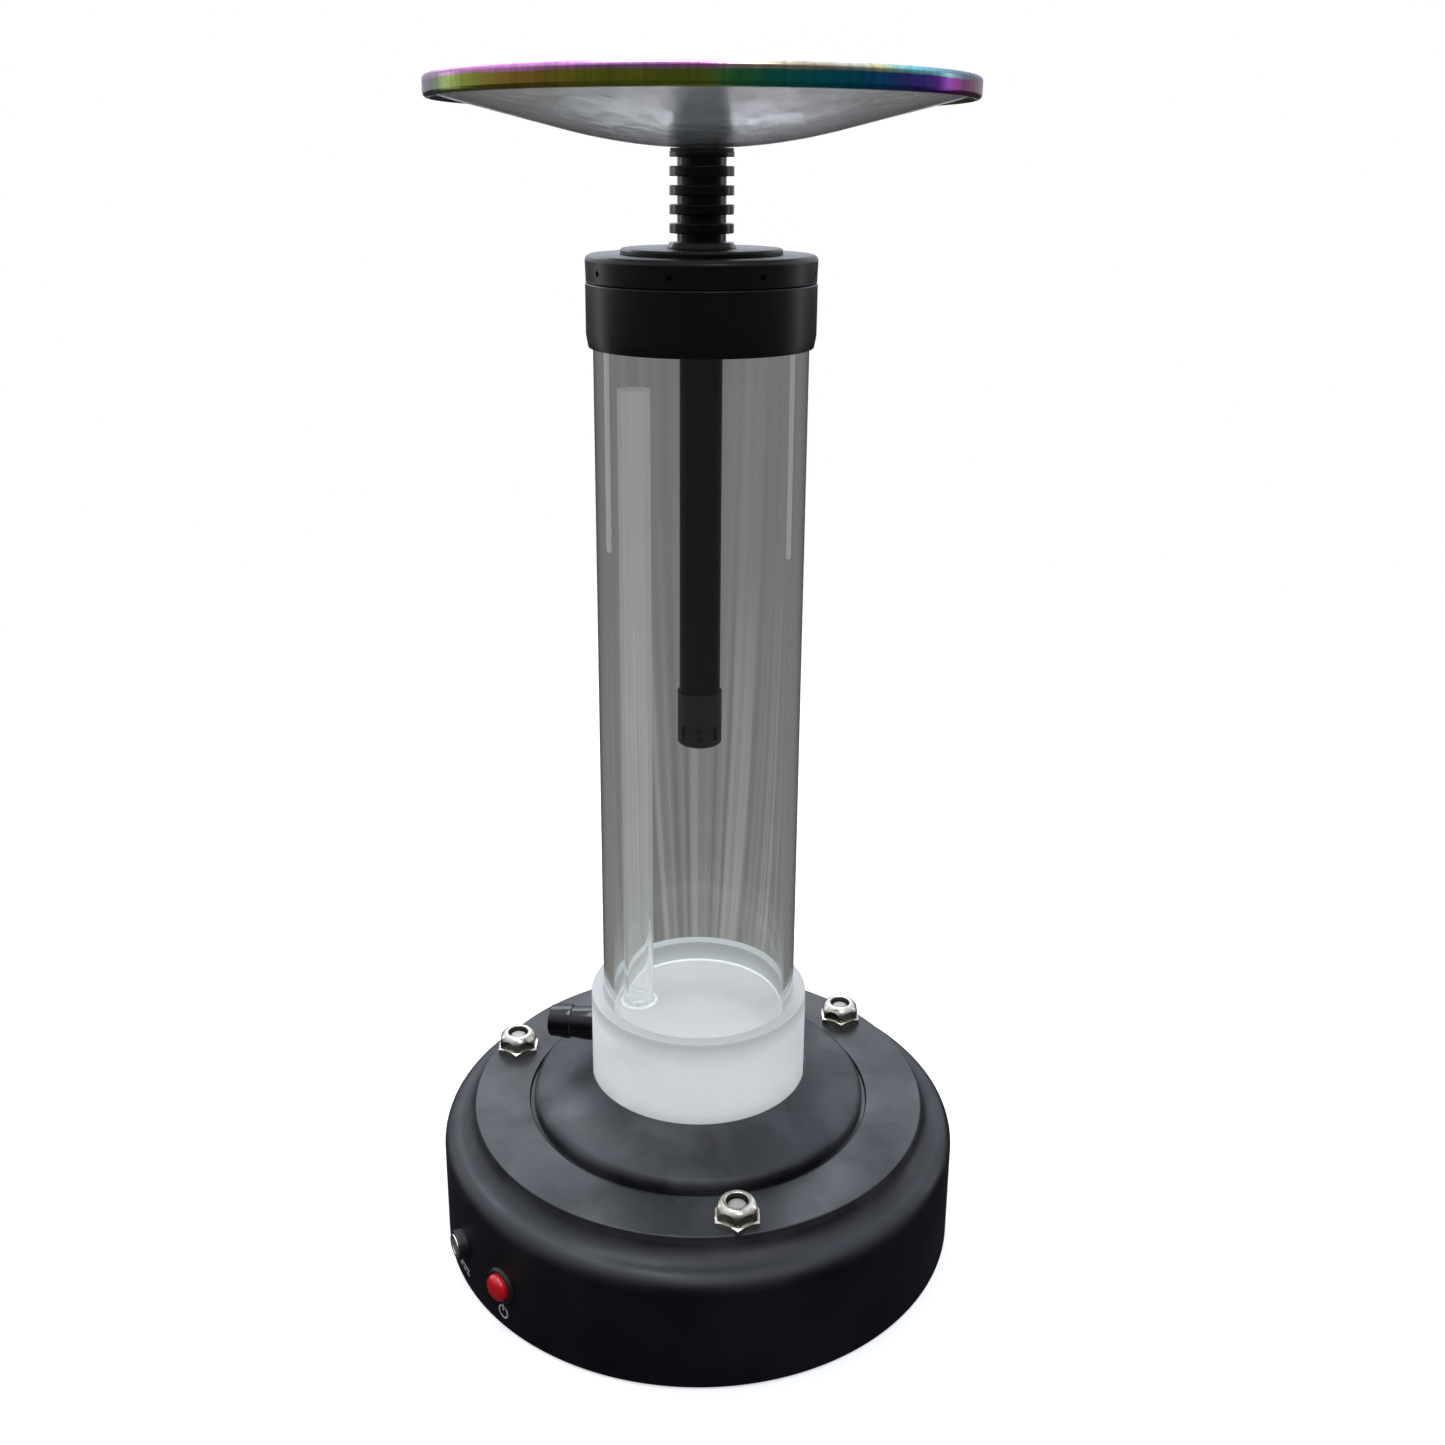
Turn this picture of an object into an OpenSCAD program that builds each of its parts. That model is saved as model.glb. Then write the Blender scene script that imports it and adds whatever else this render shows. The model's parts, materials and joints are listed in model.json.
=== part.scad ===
// Tabletop water pipe: clear tube on a lit round base, black cap, ribbed neck, glass tray and hose port.
// Millimetres, +Z up. The origin is on the standing surface, under the tube's axis. The front is -Y.
// Places round the axis are angles from the front, turning towards +X.

/* [Base] */
// Outer radius of the base
base_r = 109; // [108:0.5:110]
// Height of the base's lower edge above the standing surface
rim_z = 1; // [0.6:0.2:1.4]
// Wall thickness of the base shell
wall_t = 2.6; // [2.4:0.1:2.8]
// Height where the side wall turns into the shoulder
shoulder_z = 42; // [41:0.5:43]
// Radius of the rounded shoulder
shoulder_r = 7; // [6.5:0.5:7.5]
// Radius of the hollow between the shoulder and the flat ring
hollow_r = 9.5; // [9:0.5:10]
// Height of the flat ring
ring_z = 57.8; // [57.4:0.2:58.2]
// Radius of the inner edge of the flat ring
ring_in_r = 72.4; // [72:0.2:73]
// Depth of the groove round the centre plateau
groove_d = 1.4; // [1:0.2:1.6]
// Outer radius of the centre plateau
plateau_r = 70.6; // [70:0.2:71]
// Height of the plateau's lip at the collar
lip_z = 71.4; // [71:0.2:72]
// Height of the seat that the collar stands on
seat_z = 66.5; // [66.3:0.1:66.7]
// Radius of the light hole in the seat
light_hole_r = 30; // [29:0.5:30]

/* [Bottom plate] */
// Height of the underside of the bottom plate
plate_z = 3.2; // [3:0.1:3.4]
// Thickness of the bottom plate
plate_t = 2.5; // [2.3:0.1:2.7]
// Radius of the circle of plate screws
boss_ring_r = 88; // [87:0.5:89]
// Radius of the screw bosses
boss_r = 3.6; // [3.4:0.1:3.8]
// Radius of the circle of rubber feet
foot_ring_r = 90; // [86:1:92]
// Radius of a rubber foot
foot_r = 8; // [7:0.5:9]

/* [Collar and tube] */
// Radius of the frosted collar
collar_r = 45.2; // [45:0.1:45.3]
// Height of the collar's top
collar_top = 107.5; // [107:0.5:108]
// Height of the chamber floor inside the collar
floor_z = 99.5; // [99:0.5:100]
// Outer radius of the clear tube
tube_r = 40; // [39.9:0.1:40]
// Wall thickness of the clear tube
tube_t = 4; // [3.9:0.1:4]
// Height of the tube's top, inside the cap
tube_top = 390; // [389:0.5:390]

/* [Air path] */
// Direction of the hose port, as an angle from the front
port_a = -98; // [-100:1:-96]
// Height of the hose port's axis
port_z = 85; // [84:0.5:86]
// Radius of the air passages
air_r = 4.7; // [4.4:0.1:4.8]
// Distance of the riser's axis from the tube's axis
riser_ring_r = 26; // [25.5:0.5:27]
// Outer radius of the riser
riser_r = 6.5; // [6.4:0.1:6.5]
// Height of the riser's top
riser_top = 359; // [356:1:362]
// Radius of the hose barb at its two lands
barb_r = 7.2; // [7.1:0.1:7.3]
// Length of the hose barb
barb_len = 19.3; // [19:0.1:20]

/* [Cap] */
// Outer radius of the cap
cap_r = 42.5; // [42.4:0.1:42.8]
// Height of the cap's lower edge
cap_z = 375.4; // [375:0.2:376]
// Height of the seam between the skirt and the lid
seam_z = 398.5; // [398.3:0.1:398.7]
// Height of the lid's top
lid_top = 408.5; // [408.3:0.1:408.7]
// Radius of the raised plate on the lid
cap_plate_r = 29.7; // [29:0.2:30.5]
// Height of the raised plate's top
cap_plate_top = 410.6; // [410.4:0.1:410.8]
// Number of vent holes round the lid
vent_count = 8; // [8:1:10]
// Radius of a vent hole
vent_r = 1; // [0.8:0.1:1.1]
// Radius of a purge ball
ball_r = 3; // [2.8:0.1:3]
// Radius of the circle that the purge balls sit on
ball_ring_r = 24; // [22:0.5:26]

/* [Stem and tray] */
// Outer radius of the downstem
stem_r = 8; // [7.9:0.1:8]
// Height of the diffuser's lower end
diffuser_z = 219; // [215:1:225]
// Outer radius of the neck's rings
neck_r = 11.7; // [11.5:0.1:12]
// Radius of the neck in its grooves
neck_groove_r = 8.9; // [8.7:0.1:9.2]
// Distance from one neck ring to the next
neck_pitch = 6.58; // [6.5:0.02:6.6]
// Height of the neck's top
neck_top = 444; // [443.9:0.1:444.1]
// Radius of the spigot that holds the tray and the grommet
spigot_r = 6.5; // [6.4:0.05:6.5]
// Height of the glass dish's underside at its centre
dish_z = 445.1; // [445.1:0.1:445.4]
// Thickness of the glass dish
dish_t = 3.6; // [3.4:0.1:3.7]
// Radius of the glass dish
dish_r = 95.4; // [95:0.1:95.6]
// Radius of the tray with its rim
tray_r = 97.4; // [97.2:0.1:97.6]
// Height of the grommet's top
grommet_top = 471; // [469:0.5:473]

/* [Lights and controls] */
// Direction of the first spot light, as an angle from the front
spot_a = 10; // [8:0.5:12]
// Distance of the spot lights from the axis
spot_ring_r = 86.5; // [86:0.5:88]
// Radius of the hole in a spot light's bezel, for an 8 mm lamp
lamp_hole_r = 4.2; // [4.1:0.05:4.3]
// Direction of the power socket, as an angle from the front
jack_a = -61; // [-63:0.5:-60]
// Height of the power socket
jack_z = 19.5; // [19:0.5:21]
// Direction of the push button, as an angle from the front
button_a = -44.5; // [-46:0.5:-43]
// Height of the push button
button_z = 20.5; // [20:0.5:22]
// Radius of the push button
button_r = 5.35; // [5.3:0.05:5.4]

/* [Hidden] */
$fn = 96;
// Extra length of a cutter past the face that it opens
cut = 1;
// Length of a cutter that runs clean out of a part
through = 20;
// Radial gap of parts that are screwed or glued together
snug = 0.05;
plate_top = plate_z + plate_t;
// Angles of the fasteners and feet
plate_screw_angles = [60, 150, 240, 330];
foot_angles = [15, 105, 195, 285];
collar_screw_angles = [70, 190, 310];
standoff_angles = [10, 130, 250];
ball_angles = [60, 180, 300];
spot_angles = [spot_a, spot_a + 120, spot_a + 240];
// Screws: shaft and head sizes
plate_screw = [1.45, 10.5, 3, 1.8];
collar_screw = [1.9, 12.8, 3.6, 2.4];
board_screw = [1.15, 5, 2.2, 1.5];
screw_hole_gap = 0.4;
collar_screw_ring_r = 38;
// Collar pocket in the base
pocket_r = collar_r + 0.4;
seat_t = 2.8;
gasket_t = 1;
collar_z = seat_z + gasket_t;
// Hose port: face, thread and seal, measured outwards from the axis
port_face_s = collar_r - 0.7;
port_thread_r = 6;
port_thread_len = 12;
port_seal_t = 1;
riser_socket_d = 3;
// Ring board under the collar
led_board_r = 36;
led_board_t = 1.6;
led_board_gap = 4.2;
led_board_z = seat_z - seat_t - led_board_gap - led_board_t;
standoff_ring_r = 33;
standoff_r = 3;
led_count = 12;
led_ring_r = 22;
led_size = 5;
led_h = 1.5;
// Driver board on the bottom plate
driver_a = -53;
driver_ring_r = 48;
driver_size = [40, 26, 1.6];
driver_z = 12;
driver_post_r = 2.8;
driver_post_span = [34, 20];
header_size = [5, 3.4, 4];
header_xs = [-15, -9, -3, 3, 9, 15];
header_y = 10;
spot_headers = [4, 2, 1];
wire_r = 1.1;
wire_rings = 12;
// Panel parts on the side wall, measured outwards from the axis
spot_face = base_r - 0.35;
panel_nut_s = base_r - wall_t - 0.35;
panel_nut_t = 2.4;
hole_gap = 0.15;
jack_flange_r = 5.9;
jack_barrel_r = 5.4;
jack_back_s = 92;
jack_face_s = base_r + 3.6;
jack_sleeve_r = 4.8;
jack_cavity_r = 3.2;
jack_floor_s = 100;
jack_pin_r = 1;
jack_tail_r = 0.7;
jack_tail_y = 4;
jack_pin_inset = 2.5;
button_flange_r = 7.3;
button_flange_t = 2;
button_barrel_r = 5.95;
button_barrel_s = 98;
button_face_s = base_r + 5.2;
button_gap = 0.1;
switch_back_s = 84;
switch_back_t = 3;
terminal_xs = [-3, 3];
switch_body_r = 6.6;
switch_cavity_r = 4.6;
plunger_s = 92;
plunger_r = 4.2;
spring_r = 3;
spring_wire_r = 0.3;
spring_turns = 4;
spring_steps = 12;
jack_tail_s = jack_back_s - 5;
switch_tail_s = switch_back_s - 6;
// Spot light
bezel_hex_r = 9.8;
bezel_body_r = 8.9;
bezel_hex_t = 2.6;
bezel_top = 8.5;
bezel_barrel_r = 5.3;
bezel_barrel_len = 12;
spot_nut_r = 7.1;
spot_nut_t = 3;
lamp_r = 4;
lamp_tip = 7.2;
lamp_tail_z = ring_z - 13;
// Marks on the wall
mark_z = 7.6;
mark_line = 0.7;
mark_depth = 0.12;
// Cap
plug_r = tube_r - tube_t - 0.35;
skirt_bore_r = tube_r + 0.35;
tube_slot_top = tube_top + 0.4;
valve_floor = seam_z + 2;
valve_ceiling = valve_floor + 4;
valve_r = cap_r - 3.1;
hub_r = 12;
ball_seat_z = valve_floor - 4;
ball_seat_r = 2;
ball_z = ball_seat_z + sqrt(ball_r * ball_r - ball_seat_r * ball_seat_r);
ball_pocket_r = ball_r + 0.35;
oring_wire_r = 1.3;
oring_groove_r = plug_r - 2.4;
oring_zs = [cap_z + 5, cap_z + 10.6];
vent_z = seam_z + 4.1;
vent_a = 30;
stem_bore_r = 6;
neck_bore_r = 5;
stem_end_z = diffuser_z + 10;
stem_top = valve_floor - 1.6;
diffuser_r = 8.8;
diffuser_h = 22;
neck_spigot_z = stem_top + 0.1;
spigot_top = 464;
groove_h = 3.1;
groove_count = 5;
first_groove_z = 412.7;
washer_gap = 0.3;
washer_r = neck_r - 0.3;
// Glass dish: bowed in the middle, then a straight cone
dish_bow_r = 200;
dish_bend_r = 50;
dish_hole_r = 7.2;
bead_w = 3.2;
bead_h = 7.4;
bead_z = 461;
grommet_z = dish_z + dish_t + 0.7;
grommet_foot_r = 11.8;
grommet_tip_r = 8.7;

function arc(c, r, a0, a1, n = 8) =
    [for (i = [0:n]) let (a = a0 + (a1 - a0) * i / n) [c[0] + r * cos(a), c[1] + r * sin(a)]];
function bezier(p0, p1, p2, p3, n) =
    [for (i = [0:n]) let (t = i / n, s = 1 - t)
        s * s * s * p0 + 3 * s * s * t * p1 + 3 * s * t * t * p2 + t * t * t * p3];
function unit(v) = v / norm(v);
function round_place(a, r, z) = [r * sin(a), -r * cos(a), z];
function dish_rise(r) = r < dish_bend_r
    ? r * r / (2 * dish_bow_r)
    : (dish_bend_r * dish_bend_r / 2 + (r - dish_bend_r) * dish_bend_r) / dish_bow_r;

// Puts children at an angle round the axis, standing upright
module around(a, r, z) {
    rotate([0, 0, a]) translate([0, -r, z]) children();
}

// Puts children at an angle round the axis, with their +Z pointing outwards and +Y up
module outwards(a, z) {
    rotate([0, 0, a]) translate([0, 0, z]) rotate([90, 0, 0]) children();
}

// Solid of revolution from an outline of [radius, height] points
module turned(outline) {
    rotate_extrude() polygon(outline);
}

module pipe(r_out, r_in, z0, z1) {
    translate([0, 0, z0]) difference() {
        cylinder(r = r_out, h = z1 - z0);
        translate([0, 0, -cut]) cylinder(r = r_in, h = z1 - z0 + 2 * cut);
    }
}

// Screw with its head below z and its shaft above
module screw_up(size) {
    cylinder(r = size[0], h = size[1]);
    translate([0, 0, -size[3]]) difference() {
        cylinder(r = size[2], h = size[3]);
        translate([0, 0, -cut]) cube([size[2], 0.8, 2 * cut + 0.4], center = true);
        translate([0, 0, -cut]) cube([0.8, size[2], 2 * cut + 0.4], center = true);
    }
}

module hex_nut(r_out, r_in, z0, t) {
    translate([0, 0, z0]) difference() {
        cylinder(r = r_out, h = t, $fn = 6);
        translate([0, 0, -cut]) cylinder(r = r_in, h = t + 2 * cut);
    }
}

// One swept tube along a list of points, with eight sides
module swept(points, r, guide) {
    sides = 8;
    last = len(points) - 1;
    rings = [for (i = [0:last])
        let (along = unit(points[min(i + 1, last)] - points[max(i - 1, 0)]),
            across = unit(cross(along, guide)),
            over = cross(along, across))
        for (k = [0:sides - 1]) points[i] + r * (cos(45 * k) * across + sin(45 * k) * over)];
    walls = [for (i = [0:last - 1], k = [0:sides - 1])
        let (a = i * sides + k, b = i * sides + (k + 1) % sides) each [[a, b, b + sides], [a, b + sides, a + sides]]];
    first_cap = [for (k = [1:sides - 2]) [0, k + 1, k]];
    last_cap = [for (k = [1:sides - 2]) [last * sides, last * sides + k, last * sides + k + 1]];
    polyhedron(rings, concat(walls, first_cap, last_cap), convexity = 4);
}

// Outline of the shell: shoulder, hollow, flat ring, groove, plateau and collar pocket, then back underneath
shoulder_c = [base_r - shoulder_r, shoulder_z];
hollow_c = shoulder_c + (shoulder_r + hollow_r) * [cos(80), sin(80)];
ring_out_r = hollow_c[0] + hollow_r * cos(195);
ring_edge = 0.6;
plateau_edge_r = 4.5;
plateau_c = [plateau_r - plateau_edge_r, ring_z + 0.8];
plateau_start = plateau_c + plateau_edge_r * [cos(68), sin(68)];
lip = [pocket_r + 0.6, lip_z];
shell_top = concat(
    [[base_r, rim_z]],
    arc(shoulder_c, shoulder_r, 0, 80, 10),
    arc(hollow_c, hollow_r, 260, 195, 10),
    arc([ring_out_r - ring_edge, ring_z - ring_edge], ring_edge, 0, 90, 4),
    [[ring_in_r, ring_z], [ring_in_r - 0.3, ring_z - 0.3], [ring_in_r - 0.3, ring_z - groove_d]],
    [[plateau_r, ring_z - groove_d]],
    arc(plateau_c, plateau_edge_r, 0, 68, 8),
    bezier(plateau_start, plateau_start + [-7.3, 2.8], lip + [8.2, -5], lip, 12),
    [[pocket_r, lip_z - 0.5], [pocket_r, seat_z], [light_hole_r, seat_z]]);
shell_under = concat(
    [[light_hole_r, seat_z - seat_t], [pocket_r + wall_t, seat_z - seat_t], [56, 63], [66, 60]],
    [[plateau_r - wall_t, 58], [plateau_r - wall_t, 53.8], [75, 53.8], [75, ring_z - wall_t]],
    arc(hollow_c, hollow_r + wall_t, 195, 255, 8),
    arc(shoulder_c, shoulder_r - wall_t, 80, 0, 8),
    [[base_r - wall_t, rim_z]]);

module base_shell() {
    color("#2a2c31") difference() {
        union() {
            turned(concat(shell_top, shell_under));
            for (a = plate_screw_angles)
                around(a, boss_ring_r, plate_top) cylinder(r = boss_r, h = ring_z - wall_t / 2 - plate_top);
            for (a = standoff_angles)
                around(a, standoff_ring_r, led_board_z + led_board_t)
                    cylinder(r = standoff_r, h = led_board_gap + seat_t / 2);
        }
        for (a = plate_screw_angles)
            around(a, boss_ring_r, plate_top - cut) cylinder(r = plate_screw[0] + snug, h = plate_screw[1] + cut);
        for (a = standoff_angles)
            around(a, standoff_ring_r, led_board_z) cylinder(r = board_screw[0] + snug, h = board_screw[1] + 0.4);
        for (a = collar_screw_angles)
            around(a, collar_screw_ring_r, seat_z - seat_t - cut)
                cylinder(r = collar_screw[0] + screw_hole_gap, h = seat_t + 2 * cut);
        for (a = spot_angles) {
            around(a, spot_ring_r, ring_z - wall_t - cut)
                cylinder(r = bezel_barrel_r + hole_gap, h = wall_t + 2 * cut);
            around(a, spot_ring_r, ring_z - wall_t - spot_nut_t - cut)
                cylinder(r = spot_nut_r + hole_gap, h = spot_nut_t + cut);
        }
        outwards(jack_a, jack_z) panel_hole(jack_barrel_r + hole_gap, jack_flange_r + hole_gap);
        outwards(button_a, button_z) panel_hole(button_barrel_r + hole_gap, button_flange_r + hole_gap);
    }
}

// Round hole through the side wall, with a flat spot face outside for a round flange
module panel_hole(hole_r, face_r) {
    translate([0, 0, base_r - wall_t - 3]) cylinder(r = hole_r, h = wall_t + 6);
    translate([0, 0, spot_face]) cylinder(r = face_r, h = 3);
}

module bottom_plate() {
    color("#1d1e21") difference() {
        union() {
            translate([0, 0, plate_z]) cylinder(r = base_r - wall_t - 0.3, h = plate_t);
            around(driver_a, driver_ring_r, plate_top - plate_t / 2)
                driver_corners() cylinder(r = driver_post_r, h = driver_z - plate_top + plate_t / 2);
        }
        for (a = plate_screw_angles)
            around(a, boss_ring_r, plate_z - cut)
                cylinder(r = plate_screw[0] + screw_hole_gap, h = plate_t + 2 * cut);
        around(driver_a, driver_ring_r, driver_z - board_screw[1] + led_board_t)
            driver_corners() cylinder(r = board_screw[0] + snug, h = board_screw[1] + cut);
    }
}

// Repeats children at the four corners of the driver board's screw pattern
module driver_corners() {
    for (x = [-1, 1], y = [-1, 1])
        translate([x * driver_post_span[0] / 2, y * driver_post_span[1] / 2, 0]) children();
}

module rubber_feet() {
    color("#3a3a3c") for (a = foot_angles)
        around(a, foot_ring_r, 0) rotate_extrude()
            polygon([[0, 0], [foot_r - 0.8, 0], [foot_r, 0.8], [foot_r, plate_z], [0, plate_z]]);
}

module plate_screws() {
    color("#8d9095") for (a = plate_screw_angles) around(a, boss_ring_r, plate_z) screw_up(plate_screw);
}

module collar_gasket() {
    color("#1a1a1a") difference() {
        pipe(collar_r, light_hole_r + 0.5, seat_z, collar_z);
        for (a = collar_screw_angles)
            around(a, collar_screw_ring_r, seat_z - cut)
                cylinder(r = collar_screw[0] + screw_hole_gap, h = gasket_t + 2 * cut);
    }
}

// Solid block: tube socket on top, riser socket, elbow air passage and hose port hole
module frosted_collar() {
    color("#e6eaec", 0.9) difference() {
        turned([[0, collar_z], [collar_r, collar_z], [collar_r, collar_top - 0.4], [collar_r - 0.4, collar_top],
            [tube_r + snug, collar_top], [tube_r + snug, floor_z], [0, floor_z]]);
        around(port_a, riser_ring_r, floor_z - riser_socket_d)
            cylinder(r = riser_r + snug, h = riser_socket_d + cut);
        around(port_a, riser_ring_r, port_z) cylinder(r = air_r, h = floor_z - port_z);
        around(port_a, riser_ring_r, port_z) sphere(r = air_r);
        outwards(port_a, port_z) {
            translate([0, 0, riser_ring_r]) cylinder(r = air_r, h = collar_r - riser_ring_r);
            translate([0, 0, port_face_s - port_thread_len]) cylinder(r = port_thread_r + snug, h = through);
            translate([0, 0, port_face_s]) cylinder(r = barb_r + 0.6, h = 5);
        }
        for (a = collar_screw_angles)
            around(a, collar_screw_ring_r, collar_z - cut)
                cylinder(r = collar_screw[0] + snug, h = collar_screw[1] - seat_t - gasket_t + 1 + cut);
    }
}

module collar_screws() {
    color("#b9bcc0") for (a = collar_screw_angles)
        around(a, collar_screw_ring_r, seat_z - seat_t) screw_up(collar_screw);
}

module led_board() {
    color("#f2f2ee") difference() {
        translate([0, 0, led_board_z]) cylinder(r = led_board_r, h = led_board_t);
        for (a = standoff_angles)
            around(a, standoff_ring_r, led_board_z - cut)
                cylinder(r = board_screw[0] + screw_hole_gap, h = led_board_t + 2 * cut);
    }
}

module ring_leds() {
    color("#fff6c8") for (i = [0:led_count - 1])
        around(i * 360 / led_count, led_ring_r, led_board_z + led_board_t)
            translate([-led_size / 2, -led_size / 2, 0]) cube([led_size, led_size, led_h]);
}

module board_screws() {
    color("#b9bcc0") {
        for (a = standoff_angles) around(a, standoff_ring_r, led_board_z) screw_up(board_screw);
        around(driver_a, driver_ring_r, driver_z + driver_size[2])
            driver_corners() mirror([0, 0, 1]) screw_up(board_screw);
    }
}

module driver_board() {
    color("#1e6b3a") around(driver_a, driver_ring_r, driver_z) difference() {
        translate([-driver_size[0] / 2, -driver_size[1] / 2, 0]) cube(driver_size);
        driver_corners() translate([0, 0, -cut])
            cylinder(r = board_screw[0] + screw_hole_gap, h = driver_size[2] + 2 * cut);
    }
}

// Controller chip, capacitor and six white wire headers
module driver_parts() {
    around(driver_a, driver_ring_r, driver_z + driver_size[2]) {
        color("#202124") translate([-9, -6, 0]) cube([10, 6, 1.8]);
        color("#2b3a66") translate([9, -4, 0]) cylinder(r = 3.2, h = 8);
        color("#f4f2ea") for (x = header_xs)
            translate([x - header_size[0] / 2, header_place(x) - header_size[1] / 2, 0]) cube(header_size);
    }
}

// Headers stand in a row; the two end ones sit inboard, clear of the corner screws
function header_place(x) = abs(x) > 12 ? 3.5 : header_y;

// A point over a wire header of the driver board, in the object's own frame
function header_top(x) =
    let (local = [x, header_place(x) - driver_ring_r])
    [local[0] * cos(driver_a) - local[1] * sin(driver_a),
        local[0] * sin(driver_a) + local[1] * cos(driver_a),
        driver_z + driver_size[2] + header_size[2]];

// Cable from a tail to the top of a header, with a straight stub at each end
module cable(start, stub, leave, x, guide) {
    first = start + stub;
    last = header_top(x) + [0, 0, 2];
    line = bezier(first, first + leave, last + [0, 0, 10], last, wire_rings - 1);
    swept(concat([start], line, [header_top(x)]), wire_r, guide);
}

module wiring() {
    color("#151515") {
        for (i = [0:2]) {
            a = spot_angles[i];
            cable(round_place(a, spot_ring_r, lamp_tail_z), [0, 0, -2], [0, 0, -16],
                header_xs[spot_headers[i]], [0.2, 0.3, 0.1]);
        }
        cable([6, -4, led_board_z], [0, 0, -2], [0, 0, -12], header_xs[3], [0.5, -0.8, 0]);
        cable(round_place(jack_a, jack_tail_s, jack_z), round_place(jack_a, -2, 0), round_place(jack_a, -10, 6),
            header_xs[0], [0.1, 0.2, 1]);
        cable(round_place(button_a, switch_tail_s, button_z), round_place(button_a, -2, 0),
            round_place(button_a, -7, 6), header_xs[5], [0.1, 0.2, 1]);
    }
}

// Domed bezel with a hexagonal flange and a threaded barrel
module spot_bezel(i) {
    dome = bezier([8.7, 3.4], [8.5, 6.2], [6.9, bezel_top], [5.1, bezel_top], 10);
    body_out = bezel_body_r + 0.2;
    section = concat([[lamp_hole_r, 1], [body_out, 1], [body_out, 2.9]], dome,
        [[lamp_hole_r + 0.3, bezel_top - 0.15], [lamp_hole_r, bezel_top - 0.6]]);
    flange_out = bezel_hex_r + 0.2;
    flange = [[lamp_hole_r, 0], [flange_out, 0], [flange_out, bezel_hex_t - 0.9],
        [bezel_hex_r * cos(30) - 0.3, bezel_hex_t], [lamp_hole_r, bezel_hex_t]];
    color("#d8d8d4") around(spot_angles[i], spot_ring_r, ring_z) {
        intersection() {
            turned(flange);
            corner_forward(i) cylinder(r = bezel_hex_r, h = bezel_hex_t, $fn = 6);
        }
        intersection() {
            turned(section);
            corner_forward(i) cylinder(r = bezel_body_r, h = bezel_top, $fn = 6);
        }
        pipe(bezel_barrel_r, lamp_hole_r, -bezel_barrel_len, 0.5);
    }
}

// Turns a hexagon on the ring so that a corner faces the front
module corner_forward(i) {
    rotate([0, 0, 30 - spot_angles[i]]) children();
}

// Round-nosed lamp with its rim and two legs
module spot_led(i) {
    color("#a9adb2") around(spot_angles[i], spot_ring_r, ring_z) {
        translate([0, 0, lamp_tip - lamp_r]) sphere(r = lamp_r);
        translate([0, 0, -3]) cylinder(r = lamp_r, h = lamp_tip - lamp_r + 3);
        for (x = [-1.27, 1.27]) translate([x, 0, -13]) cylinder(r = 0.3, h = 10.5);
    }
}

module spot_nuts() {
    color("#c9c9c4") for (a = spot_angles)
        around(a, spot_ring_r, ring_z - wall_t)
            hex_nut(spot_nut_r, bezel_barrel_r + snug, -spot_nut_t, spot_nut_t);
}

module dc_jack_body() {
    color("#141414") outwards(jack_a, jack_z) difference() {
        union() {
            translate([0, 0, jack_back_s]) cylinder(r = jack_barrel_r, h = spot_face - jack_back_s);
            translate([0, 0, spot_face]) cylinder(r = jack_flange_r, h = jack_face_s - spot_face - 0.6);
            translate([0, 0, jack_face_s - 0.6]) cylinder(r1 = jack_flange_r, r2 = jack_flange_r - 0.6, h = 0.6);
        }
        translate([0, 0, jack_floor_s]) cylinder(r = jack_sleeve_r + snug, h = through);
        for (y = [0, jack_tail_y])
            translate([0, y, jack_back_s - cut]) cylinder(r = jack_tail_r + snug, h = through);
    }
}

module dc_jack_sleeve() {
    color("#dcdcd8") outwards(jack_a, jack_z) {
        pipe(jack_sleeve_r, jack_cavity_r, jack_floor_s, jack_face_s + 0.5);
        translate([0, jack_tail_y, jack_tail_s]) cylinder(r = jack_tail_r, h = jack_floor_s - jack_tail_s + cut);
    }
}

module dc_jack_pin() {
    color("#dcdcd8") outwards(jack_a, jack_z) {
        translate([0, 0, jack_tail_s]) cylinder(r = jack_tail_r, h = jack_floor_s - jack_tail_s);
        translate([0, 0, jack_floor_s]) cylinder(r = jack_pin_r, h = jack_face_s - jack_pin_inset - jack_floor_s);
        translate([0, 0, jack_face_s - jack_pin_inset]) cylinder(r1 = jack_pin_r, r2 = 0.6, h = 0.5);
    }
}

module dc_jack_nut() {
    color("#b9bcc0") outwards(jack_a, jack_z)
        hex_nut(7.6, jack_barrel_r + snug, panel_nut_s - panel_nut_t, panel_nut_t);
}

module switch_bezel() {
    flange_top = spot_face + button_flange_t;
    bore = button_r + button_gap;
    color("#161616") outwards(button_a, button_z) turned([[bore, button_barrel_s],
        [button_barrel_r, button_barrel_s], [button_barrel_r, spot_face], [button_flange_r, spot_face],
        [button_flange_r, flange_top - 0.8], [button_flange_r - 0.8, flange_top], [bore, flange_top]]);
}

// Red cap with its plunger
module switch_button() {
    crown = arc([button_r - 1.2, button_face_s - 1.5], 1.2, 0, 70, 5);
    color("#c8141c") outwards(button_a, button_z)
        turned(concat([[0, plunger_s], [plunger_r, plunger_s], [plunger_r, button_barrel_s + 3],
            [button_r, button_barrel_s + 3]], crown, [[0, button_face_s]]));
}

module switch_body() {
    color("#1b1b1d") outwards(button_a, button_z) difference() {
        translate([0, 0, switch_back_s]) cylinder(r = switch_body_r, h = button_barrel_s - switch_back_s);
        translate([0, 0, switch_back_s + switch_back_t]) cylinder(r = switch_cavity_r, h = through);
        for (x = terminal_xs)
            translate([x - 0.45, -1.05, switch_back_s - cut]) cube([0.9, 2.1, switch_back_t + 2 * cut]);
    }
}

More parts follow.
